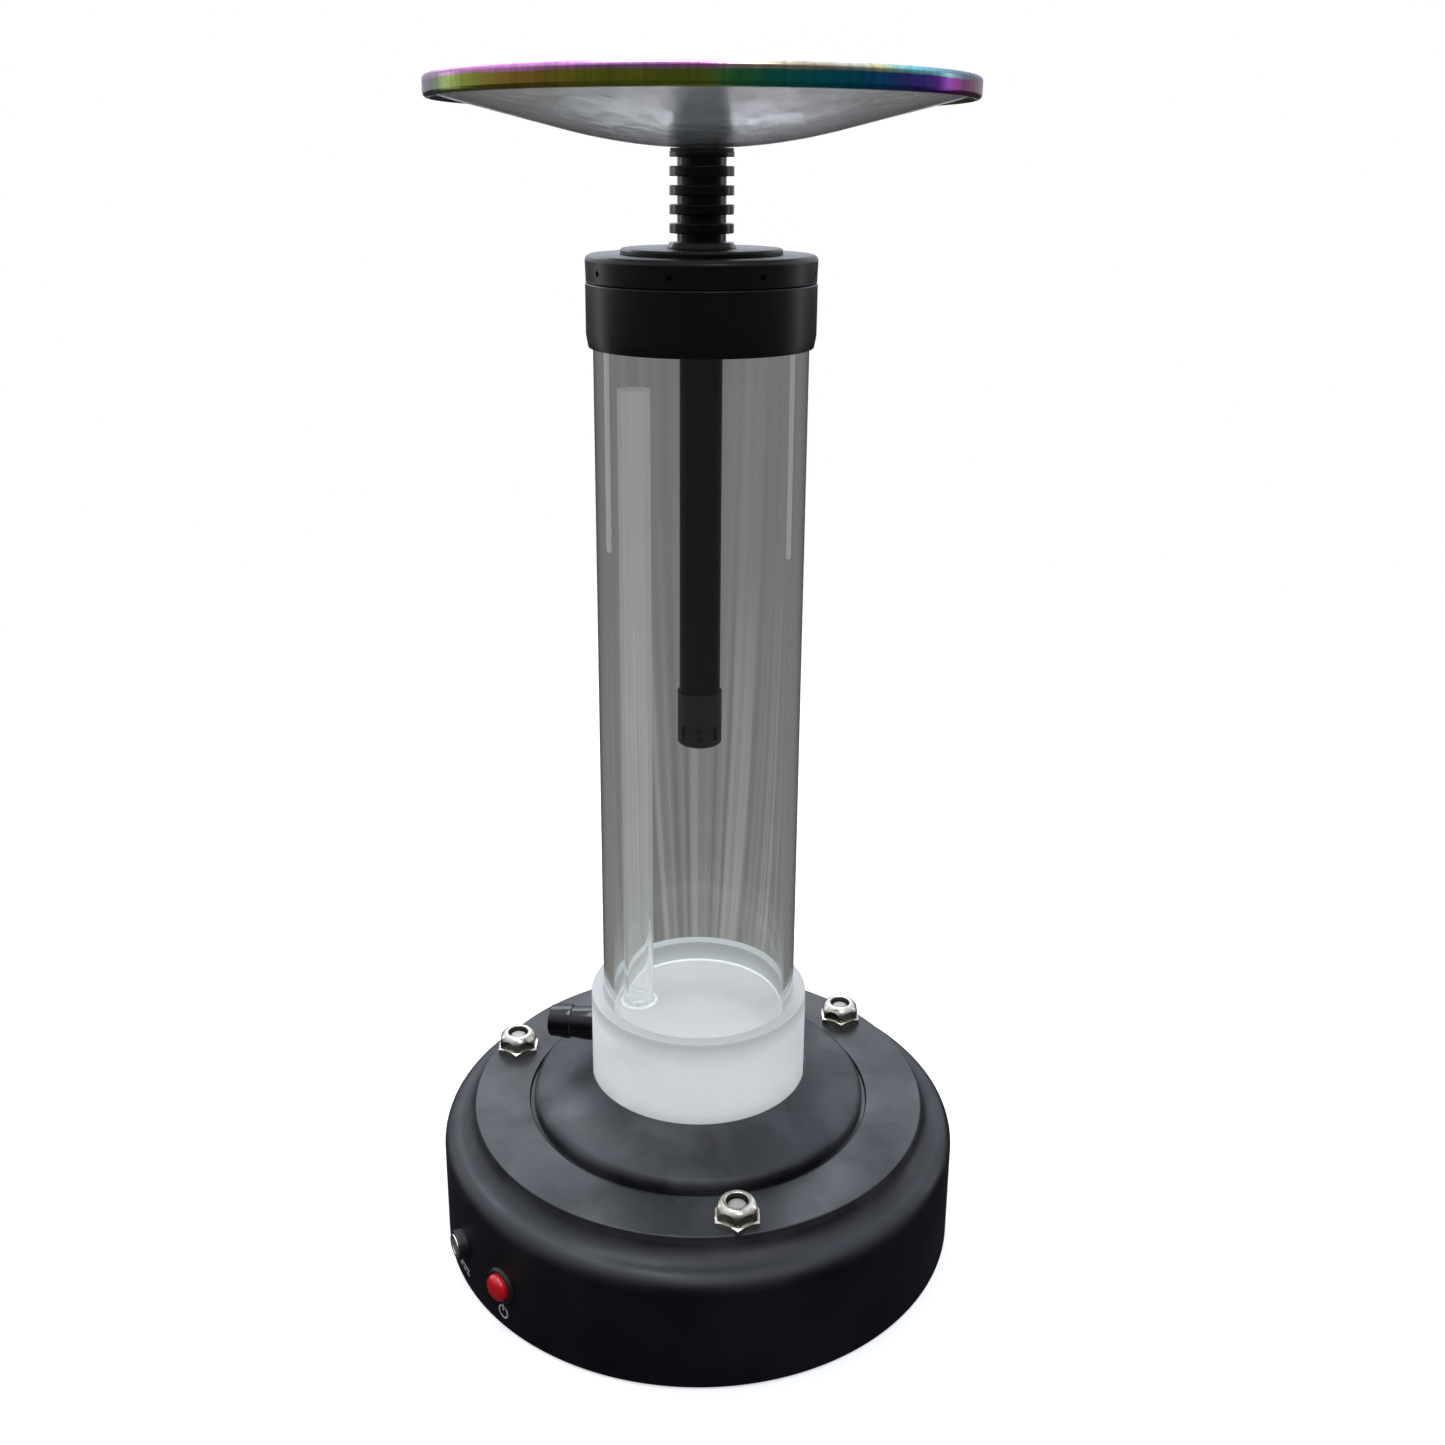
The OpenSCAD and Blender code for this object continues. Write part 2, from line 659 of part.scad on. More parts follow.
module switch_terminals() {
    color("#c7b37a") outwards(button_a, button_z) for (x = terminal_xs)
        translate([x - 0.4, -1, switch_tail_s]) cube([0.8, 2, switch_back_s + switch_back_t - switch_tail_s]);
}

module switch_nut() {
    color("#b9bcc0") outwards(button_a, button_z)
        hex_nut(8.4, button_barrel_r + snug, panel_nut_s - panel_nut_t, panel_nut_t);
}

// Return spring between the plunger and the back of the switch
module switch_spring() {
    low = switch_back_s + switch_back_t + spring_wire_r + snug;
    high = plunger_s - spring_wire_r - snug;
    steps = spring_turns * spring_steps;
    points = [for (i = [0:steps]) let (a = 360 * i / spring_steps)
        [spring_r * cos(a), spring_r * sin(a), low + (high - low) * i / steps]];
    color("#9a9da2") outwards(button_a, button_z) swept(points, spring_wire_r, [0, 0, 1]);
}

// Thin print on the side wall: the direct current sign under the socket, the power sign under the button
module wall_marks() {
    color("#e8e8e8") {
        outwards(jack_a, 0) mark_layer() {
            translate([-5, mark_z + 0.9]) square([10, mark_line]);
            for (x = [-5, -1.3, 2.4]) translate([x, mark_z - 1.1]) square([2.6, mark_line]);
        }
        outwards(button_a, 0) mark_layer() {
            translate([0, mark_z]) difference() {
                circle(r = 2.9);
                circle(r = 2.9 - mark_line);
                translate([-1, 0]) square([2, 4]);
            }
            translate([-mark_line / 2, mark_z + 0.6]) square([mark_line, 3]);
        }
    }
}

// A flat sign, pressed on to the curved wall as a layer of even thickness
module mark_layer() {
    intersection() {
        translate([0, 0, base_r - 3]) linear_extrude(height = 4) children();
        rotate([-90, 0, 0]) pipe(base_r + mark_depth, base_r, 0, through);
    }
}

module main_tube() {
    color("#dfe6e8", 0.35) pipe(tube_r, tube_r - tube_t, floor_z, tube_top);
}

module hose_riser() {
    color("#dfe6e8", 0.45) around(port_a, riser_ring_r, 0) pipe(riser_r, air_r, floor_z - riser_socket_d, riser_top);
}

// Bead of solvent weld round the riser's foot
module riser_weld() {
    color("#eef2f3", 0.7) around(port_a, riser_ring_r, floor_z)
        turned([[riser_r, 0], [riser_r + 1.7, 0], [riser_r + 0.6, 0.6], [riser_r, 1.8]]);
}

// Two-step hose barb with a threaded root
module hose_port() {
    root = port_face_s + port_seal_t;
    step = root + barb_len / 2;
    tip = root + barb_len;
    color("#0f0f10") outwards(port_a, port_z) turned([[air_r, port_face_s - port_thread_len],
        [port_thread_r, port_face_s - port_thread_len], [port_thread_r, root], [barb_r, root],
        [barb_r, root + 2.5], [barb_r - 0.75, step], [barb_r, step], [barb_r, step + 2],
        [barb_r - 0.7, tip - 0.6], [barb_r - 1.2, tip], [air_r, tip]]);
}

module port_seal() {
    color("#2a2a2a") outwards(port_a, port_z)
        pipe(barb_r + 0.2, port_thread_r + snug, port_face_s, port_face_s + port_seal_t);
}

// Skirt over the tube, with an inner plug, two O-ring grooves and three purge ball seats
module cap_skirt() {
    plug_wall = 3.8;
    outside = concat([[stem_r + snug, cap_z + 0.4], [hub_r, cap_z + 0.4], [hub_r, tube_top]],
        [[plug_r - plug_wall, tube_top], [plug_r - plug_wall, cap_z + 0.4], [plug_r, cap_z + 0.4]],
        [for (z = oring_zs) each [[plug_r, z - oring_wire_r - 0.05],
            [oring_groove_r, z - oring_wire_r - 0.05],
            [oring_groove_r, z + oring_wire_r + 0.05],
            [plug_r, z + oring_wire_r + 0.05]]],
        [[plug_r, tube_slot_top], [skirt_bore_r, tube_slot_top], [skirt_bore_r, cap_z]],
        [[cap_r - 0.8, cap_z], [cap_r, cap_z + 4.5], [cap_r, seam_z - 0.4], [cap_r - 0.4, seam_z]],
        [[valve_r, seam_z], [valve_r, valve_floor], [stem_r + snug, valve_floor]]);
    color("#17181a") difference() {
        turned(outside);
        for (a = ball_angles) {
            around(a, ball_ring_r, tube_top - cut) cylinder(r = ball_seat_r, h = through);
            around(a, ball_ring_r, ball_seat_z) cylinder(r = ball_pocket_r, h = through);
        }
    }
}

module cap_orings() {
    color("#2a2a2a") for (z = oring_zs)
        translate([0, 0, z]) rotate_extrude() translate([tube_r - tube_t - snug - oring_wire_r, 0])
            circle(r = oring_wire_r, $fn = 32);
}

// Lid over the purge balls, with vent holes all round
module cap_lid() {
    round_r = 2.2;
    color("#17181a") difference() {
        turned(concat([[stem_r + snug, valve_floor], [hub_r, valve_floor], [hub_r, valve_ceiling],
            [valve_r + snug, valve_ceiling], [valve_r + snug, seam_z + 0.25], [cap_r - 0.4, seam_z + 0.25],
            [cap_r, seam_z + 0.65]], arc([cap_r - round_r, lid_top - round_r], round_r, 0, 90, 6),
            [[stem_r + snug, lid_top]]));
        for (i = [0:vent_count - 1])
            outwards(vent_a + i * 360 / vent_count, vent_z) translate([0, 0, valve_r - cut])
                cylinder(r = vent_r, h = 6, $fn = 32);
    }
}

module cap_plate() {
    edge = 0.7;
    color("#1c1d1f") turned([[stem_r + snug, lid_top], [cap_plate_r, lid_top],
        [cap_plate_r, cap_plate_top - edge], [cap_plate_r - edge, cap_plate_top],
        [stem_r + snug, cap_plate_top]]);
}

module purge_ball(i) {
    color("#c4c7ca") around(ball_angles[i], ball_ring_r, ball_z + 0.02) sphere(r = ball_r);
}

module downstem() {
    color("#101012") pipe(stem_r, stem_bore_r, stem_end_z, stem_top);
}

// Soft sleeve on the downstem's end, closed below and slotted round the side
module diffuser() {
    slots = 8;
    color("#19191b") difference() {
        turned([[0, diffuser_z], [diffuser_r - 0.8, diffuser_z], [diffuser_r, diffuser_z + 0.8],
            [diffuser_r, diffuser_z + diffuser_h], [stem_r + snug, diffuser_z + diffuser_h],
            [stem_r + snug, stem_end_z], [stem_bore_r, stem_end_z], [stem_bore_r, diffuser_z + 2],
            [0, diffuser_z + 2]]);
        for (i = [0:slots - 1])
            rotate([0, 0, i * 360 / slots]) translate([4, -0.9, diffuser_z + 3]) cube([8, 1.8, 5.5]);
        for (i = [0:5])
            around(i * 60, 3.6, diffuser_z - cut) cylinder(r = 0.9, h = 4, $fn = 24);
    }
}

// Ribbed neck with a foot, a threaded root below and the tray spigot above
module stem_neck() {
    foot_r1 = neck_r + 1.4;
    grooves = [for (i = [0:groove_count - 1]) let (z = first_groove_z + i * neck_pitch)
        each [[neck_r, z - 0.25], [neck_r - 0.25, z], [neck_groove_r, z], [neck_groove_r, z + groove_h],
            [neck_r - 0.25, z + groove_h], [neck_r, z + groove_h + 0.25]]];
    color("#101012") turned(concat([[neck_bore_r, neck_spigot_z], [stem_r, neck_spigot_z],
        [stem_r, cap_plate_top], [foot_r1, cap_plate_top], [foot_r1 - 0.6, cap_plate_top + 0.7]], grooves,
        [[neck_r, neck_top - 0.3], [neck_r - 0.3, neck_top], [spigot_r, neck_top],
        [spigot_r, spigot_top - 0.6], [spigot_r - 0.6, spigot_top], [neck_bore_r, spigot_top]]));
}

// Rubber seat that follows the underside of the dish
module neck_washer() {
    washer_in = spigot_r + snug;
    color("#2a2a2a") turned([[washer_in, neck_top], [washer_r, neck_top],
        [washer_r, dish_z + dish_rise(washer_r) - washer_gap],
        [washer_in, dish_z + dish_rise(washer_in) - washer_gap]]);
}

dish_radii = [dish_hole_r, 14, 20, 26, 32, 38, 44, dish_bend_r, dish_r];
dish_outline = concat([for (r = dish_radii) [r, dish_z + dish_rise(r)]],
    [for (i = [len(dish_radii) - 1:-1:0]) [dish_radii[i], dish_z + dish_t + dish_rise(dish_radii[i])]]);

module tray_glass() {
    color("#b9c0c0", 0.5) turned(dish_outline);
}

// Rounded rim bead that grips the edge of the dish
module tray_rim() {
    bead_c = tray_r - bead_w / 2;
    half = bead_w / 2;
    color("#6f7a3a") rotate_extrude() difference() {
        union() {
            translate([bead_c - half, bead_z + half]) square([bead_w, bead_h - bead_w]);
            for (z = [bead_z + half, bead_z + bead_h - half]) translate([bead_c, z]) circle(r = half, $fn = 48);
        }
        polygon(dish_outline);
    }
}

// Tapered silicone seal that the bowl is pushed on to
module bowl_grommet() {
    bore = spigot_r + 0.1;
    color("#55585b") turned([[bore, grommet_z], [grommet_foot_r, grommet_z],
        [grommet_tip_r, grommet_top - 0.8], [grommet_tip_r - 0.8, grommet_top], [bore, grommet_top]]);
}

base_shell();
bottom_plate();
rubber_feet();
plate_screws();
collar_gasket();
frosted_collar();
collar_screws();
led_board();
ring_leds();
board_screws();
driver_board();
driver_parts();
wiring();
spot_bezel(0);  // spot_bezel_1
spot_bezel(1);  // spot_bezel_2
spot_bezel(2);  // spot_bezel_3
spot_led(0);  // spot_led_1
spot_led(1);  // spot_led_2
spot_led(2);  // spot_led_3
spot_nuts();
dc_jack_body();
dc_jack_sleeve();
dc_jack_pin();
dc_jack_nut();
switch_bezel();
switch_button();
switch_body();
switch_terminals();
switch_nut();
switch_spring();
wall_marks();
main_tube();
hose_riser();
riser_weld();
hose_port();
port_seal();
cap_skirt();
cap_orings();
cap_lid();
cap_plate();
purge_ball(0);  // purge_ball_1
purge_ball(1);  // purge_ball_2
purge_ball(2);  // purge_ball_3
downstem();
diffuser();
stem_neck();
neck_washer();
tray_glass();
tray_rim();
bowl_grommet();
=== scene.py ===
"""Looks of the tabletop water pipe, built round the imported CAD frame. Metres, +Z up, front -Y."""
import bmesh
import bpy
import json
import math
from mathutils import Matrix, Vector

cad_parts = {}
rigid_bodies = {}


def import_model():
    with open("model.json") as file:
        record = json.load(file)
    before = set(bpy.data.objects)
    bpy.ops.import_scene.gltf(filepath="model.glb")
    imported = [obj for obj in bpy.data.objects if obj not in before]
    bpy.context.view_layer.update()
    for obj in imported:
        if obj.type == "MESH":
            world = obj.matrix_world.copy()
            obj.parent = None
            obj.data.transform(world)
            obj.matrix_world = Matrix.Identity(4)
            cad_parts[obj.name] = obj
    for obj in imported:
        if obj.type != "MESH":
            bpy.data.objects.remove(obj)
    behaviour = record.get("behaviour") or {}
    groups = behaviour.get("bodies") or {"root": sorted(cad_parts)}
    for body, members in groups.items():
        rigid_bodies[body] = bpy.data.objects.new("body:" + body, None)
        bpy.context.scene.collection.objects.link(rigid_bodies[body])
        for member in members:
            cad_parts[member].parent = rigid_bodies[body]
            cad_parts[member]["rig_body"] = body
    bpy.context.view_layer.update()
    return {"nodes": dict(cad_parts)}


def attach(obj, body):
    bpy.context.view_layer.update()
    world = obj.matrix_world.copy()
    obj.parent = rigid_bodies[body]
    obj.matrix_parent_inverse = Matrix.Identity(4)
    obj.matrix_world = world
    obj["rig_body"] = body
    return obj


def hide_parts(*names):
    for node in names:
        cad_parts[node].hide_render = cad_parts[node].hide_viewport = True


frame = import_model()
MM = 0.001
TINY = 1e-6

# Places, in millimetres, and in degrees from the front towards +X.
SPOTS = (10, 130, 250)
SPOT_R, RING_TOP = 86.5, 57.8
JACK_AT, BUTTON_AT, PORT_AT = (-61, 19.5), (-44.5, 20.5), (-98, 85)
WALL_FACE = 108.65
RISER = (-25.747, 3.618)
COLLAR_FLOOR = 99.5
COLLAR_SCREWS, COLLAR_SCREW_R = (70, 190, 310), 38
PURGE_BALLS, PURGE_R = (60, 180, 300), 24
VENTS, FIRST_VENT = 8, 30
STEM_BORE = 8.05
RIBS, FIRST_RIB, RIB_PITCH, RIB_GAP = 5, 412.7, 6.58, 3.1
DISH_BORE, DISH_R, DISH_STEPS = 7.2, 95.4, 48
BEZEL_BORE, BEZEL_TOP, NUT_R = 4.2, 8.5, 9.8

# Tones that the floor and the sky share, so that no horizon shows.
ROOM_GREY = (0.205, 0.202, 0.192)
PAPER_WHITE = (1.0, 1.0, 1.0)


# ---------------------------------------------------------------- outlines (millimetres)
def arc(c, r, a0, a1, n):
    """Points on a circle from angle a0 to a1, in degrees."""
    return [(c[0] + r * math.cos(math.radians(a0 + (a1 - a0) * i / n)),
             c[1] + r * math.sin(math.radians(a0 + (a1 - a0) * i / n))) for i in range(n + 1)]


def bezier(p0, p1, p2, p3, n):
    """Points on a cubic curve."""
    out = []
    for i in range(n + 1):
        t = i / n
        s = 1 - t
        out.append(tuple(s ** 3 * a + 3 * s * s * t * b + 3 * s * t * t * c + t ** 3 * d
                         for a, b, c, d in zip(p0, p1, p2, p3)))
    return out


def rounded(points, r, n=3):
    """A closed outline with its sharp corners rounded to radius r, or to what fits."""
    straight, most = math.radians(152), 0.45
    out = []
    count = len(points)
    for i in range(count):
        p = Vector(points[i])
        a = Vector(points[i - 1]) - p
        b = Vector(points[(i + 1) % count]) - p
        if a.length < TINY or b.length < TINY:
            continue
        turn = a.angle(b)
        if p.x < TINY or turn > straight:
            out.append(tuple(p))
            continue
        t = min(r / math.tan(turn / 2), most * a.length, most * b.length)
        start, end = p + a.normalized() * t, p + b.normalized() * t
        centre = p + (a.normalized() + b.normalized()).normalized() * (t / math.cos(turn / 2))
        u, v = start - centre, end - centre
        sweep = u.angle(v)
        for k in range(n + 1):
            w = sweep * k / n
            out.append(tuple(centre + (u * math.sin(sweep - w) + v * math.sin(w)) / math.sin(sweep)))
    return out


# ---------------------------------------------------------------- meshes
def lathe(bm, outline, segments=128):
    """Adds a closed solid of revolution round Z to bm, from an outline of (radius, height) in millimetres."""
    rings = []
    for r, z in outline:
        if r < TINY:
            rings.append([bm.verts.new((0, 0, z * MM))])
        else:
            rings.append([bm.verts.new((r * MM * math.cos(2 * math.pi * k / segments),
                                        r * MM * math.sin(2 * math.pi * k / segments), z * MM))
                          for k in range(segments)])
    for i in range(len(rings)):
        a, b = rings[i], rings[(i + 1) % len(rings)]
        for k in range(segments):
            m = (k + 1) % segments
            if len(a) > 1 and len(b) > 1:
                bm.faces.new((a[k], a[m], b[m], b[k]))
            elif len(a) > 1:
                bm.faces.new((a[k], a[m], b[0]))
            elif len(b) > 1:
                bm.faces.new((a[0], b[m], b[k]))


def prism(bm, corners, z0, z1):
    """Adds an upright prism to bm, from corners in millimetres."""
    low = [bm.verts.new((x * MM, y * MM, z0 * MM)) for x, y in corners]
    high = [bm.verts.new((x * MM, y * MM, z1 * MM)) for x, y in corners]
    bm.faces.new(low[::-1])
    bm.faces.new(high)
    for i in range(len(corners)):
        j = (i + 1) % len(corners)
        bm.faces.new((low[i], low[j], high[j], high[i]))


def solid(name, build, place=Matrix()):
    """A mesh object that build(bm) fills, moved to its place."""
    bm = bmesh.new()
    build(bm)
    bmesh.ops.recalc_face_normals(bm, faces=bm.faces)
    bm.transform(place)
    mesh = bpy.data.meshes.new(name)
    bm.to_mesh(mesh)
    bm.free()
    o = bpy.data.objects.new(name, mesh)
    bpy.context.scene.collection.objects.link(o)
    return o


def turned(name, outline, segments=128, place=Matrix()):
    """A solid of revolution, moved to its place."""
    return solid(name, lambda bm: lathe(bm, outline, segments), place)


def cylinder(r, z0, z1):
    """The outline of a plain cylinder."""
    return [(0, z0), (r, z0), (r, z1), (0, z1)]


def join(bm, part):
    """Moves part's geometry into bm."""
    mesh = bpy.data.meshes.new("part")
    part.to_mesh(mesh)
    part.free()
    bm.from_mesh(mesh)
    bpy.data.meshes.remove(mesh)


def drill(bm, outline, place, segments):
    """Adds a turned cutter, moved to its place, to bm."""
    hole = bmesh.new()
    lathe(hole, outline, segments)
    hole.transform(place)
    join(bm, hole)


def carve(o, cutter, operation="DIFFERENCE"):
    """Cuts cutter out of o, or keeps what they share, and removes the cutter."""
    m = o.modifiers.new("carve", "BOOLEAN")
    m.object, m.operation, m.solver = cutter, operation, "EXACT"
    made = bpy.data.meshes.new_from_object(o.evaluated_get(bpy.context.evaluated_depsgraph_get()))
    o.modifiers.clear()
    old, o.data = o.data, made
    made.name = old.name
    bpy.data.meshes.remove(old)
    bpy.data.objects.remove(cutter)


def smooth(o, sharp=38):
    """Smooth shading that keeps edges sharper than the angle, with normals that follow the large faces."""
    bm = bmesh.new()
    bm.from_mesh(o.data)
    for f in bm.faces:
        f.smooth = True
    for e in bm.edges:
        e.smooth = len(e.link_faces) == 2 and e.calc_face_angle(0) < math.radians(sharp)
    bm.to_mesh(o.data)
    bm.free()
    m = o.modifiers.new("normals", "WEIGHTED_NORMAL")
    m.keep_sharp, m.weight = True, 80
    return o


def around(a, r, z):
    """Standing upright at an angle from the front, turning towards +X."""
    return Matrix.Rotation(math.radians(a), 4, "Z") @ Matrix.Translation((0, -r * MM, z * MM))


def outwards(a, z):
    """Local +Z points outwards at an angle from the front, and +Y up."""
    return (Matrix.Rotation(math.radians(a), 4, "Z") @ Matrix.Translation((0, 0, z * MM))
            @ Matrix.Rotation(math.pi / 2, 4, "X"))


def dress(o, node, material):
    """Finishes a piece that stands for a CAD node."""
    smooth(o)
    o.data.materials.clear()
    o.data.materials.append(material)
    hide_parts(node)
    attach(o, frame["nodes"][node]["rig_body"])
    return o


# ---------------------------------------------------------------- materials
class Nodes:
    """A short way to write a material's nodes."""

    def __init__(self, name):
        self.m = bpy.data.materials.new(name)
        self.m.use_nodes = True
        self.t = self.m.node_tree
        self.shader = self.t.nodes["Principled BSDF"]

    def add(self, kind, inputs=None, **props):
        n = self.t.nodes.new("ShaderNode" + kind)
        for k, v in props.items():
            setattr(n, k, v)
        for k, v in (inputs or {}).items():
            self.put(n.inputs[k], v)
        return n

    def put(self, socket, v):
        if isinstance(v, bpy.types.NodeSocket):
            self.t.links.new(v, socket)
        else:
            socket.default_value = v

    def set(self, **values):
        for k, v in values.items():
            self.put(self.shader.inputs[k.replace("_", " ")], v)

    def where(self):
        return self.add("TexCoord").outputs["Object"]

    def axes(self):
        """X, Y and Z of the point."""
        return self.add("SeparateXYZ", {"Vector": self.where()}).outputs

    def plan(self, axes):
        """The point dropped onto the floor."""
        return self.add("CombineXYZ", {"X": axes[0], "Y": axes[1]}).outputs[0]

    def length(self, v):
        return self.add("VectorMath", {0: v}, operation="LENGTH").outputs["Value"]

    def noise(self, scale, detail=4.0, stretch=(1, 1, 1), rough=0.55):
        at = self.add("Mapping", {"Vector": self.where(), "Scale": stretch}).outputs[0]
        return self.add("TexNoise", {"Vector": at, "Scale": scale, "Detail": detail, "Roughness": rough}).outputs[0]

    def span(self, value, lo, hi, start=0.0, end=1.0):
        """Runs from lo to hi while value goes from start to end."""
        return self.add("MapRange", {"Value": value, "From Min": start, "From Max": end,
                                     "To Min": lo, "To Max": hi}).outputs[0]

    def tones(self, value, stops, mode="EASE"):
        """A colour ramp through (position, colour) stops."""
        n = self.add("ValToRGB", {"Fac": value})
        ramp = n.color_ramp
        ramp.interpolation = mode
        while len(ramp.elements) < len(stops):
            ramp.elements.new(0.5)
        for e, (p, c) in zip(ramp.elements, stops):
            e.position, e.color = p, (*c, 1)
        return n.outputs[0]

    def mix(self, share, a, b, mode="MIX"):
        n = self.add("Mix", data_type="RGBA", blend_type=mode)
        for s, v in ((n.inputs[0], share), (n.inputs[6], a), (n.inputs[7], b)):
            self.put(s, (*v, 1) if isinstance(v, tuple) and len(v) == 3 else v)
        return n.outputs[2]

    def maths(self, op, a, b):
        n = self.add("Math", operation=op)
        self.put(n.inputs[0], a)
        self.put(n.inputs[1], b)
        return n.outputs[0]

    def bump(self, height, depth_mm, under=None):
        n = self.add("Bump", {"Height": height, "Distance": depth_mm * MM, "Strength": 1.0})
        if under is not None:
            self.put(n.inputs["Normal"], under)
        return n.outputs[0]


def moulded(name, colour, rough, grain=(2600, 0.012), blotch=(38, 0.12), smear=(55, 0.05), metal=0.0, coat=0.0,
            specular=0.5):
    """Plastic, rubber or metal with fine grain, uneven tone and uneven gloss."""
    k = Nodes(name)
    tone = k.noise(blotch[0], 5)
    dark = tuple(c * (1 - blotch[1]) for c in colour)
    light = tuple(min(1, c * (1 + blotch[1])) for c in colour)
    k.set(Base_Color=k.tones(tone, [(0.3, dark), (0.7, light)]), Metallic=metal)
    gloss = k.span(k.noise(smear[0], 6), rough - smear[1], rough + smear[1], 0.3, 0.7)
    normal = k.bump(k.noise(grain[0], 2), grain[1])
    k.set(Roughness=gloss, Normal=normal)
    k.shader.inputs["Specular IOR Level"].default_value = specular
    if coat:
        k.shader.inputs["Coat Weight"].default_value = coat
        k.shader.inputs["Coat Roughness"].default_value = 0.08
    return k.m


def clear(name, colour, ior, rough, wave_mm, stretch, scale, glow=0.0, spread=0.05):
    """Clear acrylic or glass with a faint draw or press wave and fine wipe marks, and an optional emission that is a
    painted glow.
    """
    k = Nodes(name)
    k.set(Base_Color=k.tones(k.noise(20, 3), [(0.3, tuple(c * 0.97 for c in colour)), (0.7, colour)]),
          Transmission_Weight=1.0, IOR=ior)
    wave = k.bump(k.noise(scale, 2, stretch), wave_mm)
    k.set(Normal=wave, Roughness=k.span(k.noise(70, 6, (1, 1, 0.25), 0.7), rough, rough + spread, 0.45, 0.75))
    k.shader.inputs["Emission Color"].default_value = (1.0, 1.0, 0.96, 1)
    k.shader.inputs["Emission Strength"].default_value = glow
    return k.m


def shell_plastic():
    """Black moulded base: fine spark texture, dust on top, pale blotches on top that are partly smudges and partly
    painted sheen, and a painted highlight along the flat ring's outer edge.
    """
    k = Nodes("Shell_Plastic")
    at = k.axes()
    out = k.length(k.plan(at))
    tone = k.tones(k.noise(26, 6), [(0.32, (0.0034, 0.0042, 0.0060)), (0.7, (0.0058, 0.0068, 0.0092))])
    dust = k.maths("MULTIPLY", k.span(k.noise(420, 7, rough=0.72), 0, 1, 0.55, 0.72), 0.22)
    dust = k.maths("MULTIPLY", dust, k.span(at[2], 0, 1, 0.050, 0.058))
    tone = k.mix(dust, tone, (0.060, 0.062, 0.066))
    # A pale line along the flat ring's outer edge, broken up by noise: a painted highlight.
    edge_highlight = k.maths("MULTIPLY", k.span(out, 0, 1, 0.0949, 0.0955), k.span(out, 1, 0, 0.0957, 0.0961))
    edge_highlight = k.maths("MULTIPLY", edge_highlight, k.span(k.noise(60, 5), 0.25, 0.8, 0.35, 0.65))
    tone = k.mix(k.maths("MULTIPLY", edge_highlight, 0.6), tone, (0.085, 0.088, 0.095))
    # Pale blotches on the top faces: partly smudges, partly painted sheen.
    smudge_and_sheen = k.maths("MULTIPLY", k.span(k.noise(30, 5, rough=0.5), 0, 0.85, 0.47, 0.60),
                   k.span(at[2], 0, 1, 0.050, 0.0565))
    tone = k.mix(smudge_and_sheen, tone, (0.029, 0.031, 0.035))
    gloss = k.span(k.noise(24, 5, rough=0.5), 0.33, 0.55, 0.38, 0.62)
    normal = k.bump(k.noise(1500, 3), 0.016)
    normal = k.bump(k.noise(26, 2), 0.16, normal)
    k.set(Base_Color=tone, Roughness=gloss, Normal=normal)
    return k.m


def frosted(name, glow):
    """Frosted acrylic: soft white body with a painted glow for the light from below, a clearer top rim painted darker
    with the shade of the socket seen through it, with a polished edge, and a sanded grain.
    """
    k = Nodes(name)
    at = k.axes()
    cloud = k.tones(k.noise(34, 4), [(0.3, (0.60, 0.615, 0.62)), (0.7, (0.70, 0.71, 0.715))])
    # Darker towards the top of the rim: the rim is clearer, and the grey is painted shade of the socket seen through
    # it.
    clear_rim_shade = k.span(at[2], 0, 0.75, 0.0985, 0.1055)
    tone = k.mix(clear_rim_shade, cloud, (0.17, 0.175, 0.175))
    inside = k.maths("LESS_THAN", k.length(k.plan(at)), 0.0399)
    tone = k.mix(inside, tone, k.mix(k.noise(45, 5), (0.74, 0.75, 0.76), (0.92, 0.92, 0.93)))
    ground = k.span(k.noise(300, 4), 0.42, 0.56, 0.3, 0.7)
    edge = k.maths("MULTIPLY", k.span(at[2], 0, 1, 0.1068, 0.1070), k.span(at[2], 1, 0, 0.10738, 0.10746))
    polish = k.maths("MULTIPLY", edge, -0.38)
    k.set(Base_Color=tone, Roughness=k.maths("ADD", ground, polish), IOR=1.49,
          Normal=k.bump(k.noise(3200, 2), 0.01))
    k.shader.inputs["Transmission Weight"].default_value = 0.22
    k.shader.inputs["Specular IOR Level"].default_value = 0.18
    # The emission is a painted glow for the light of the lamps below.
    k.shader.inputs["Emission Color"].default_value = glow
    k.shader.inputs["Emission Strength"].default_value = 1.0
    return k.m


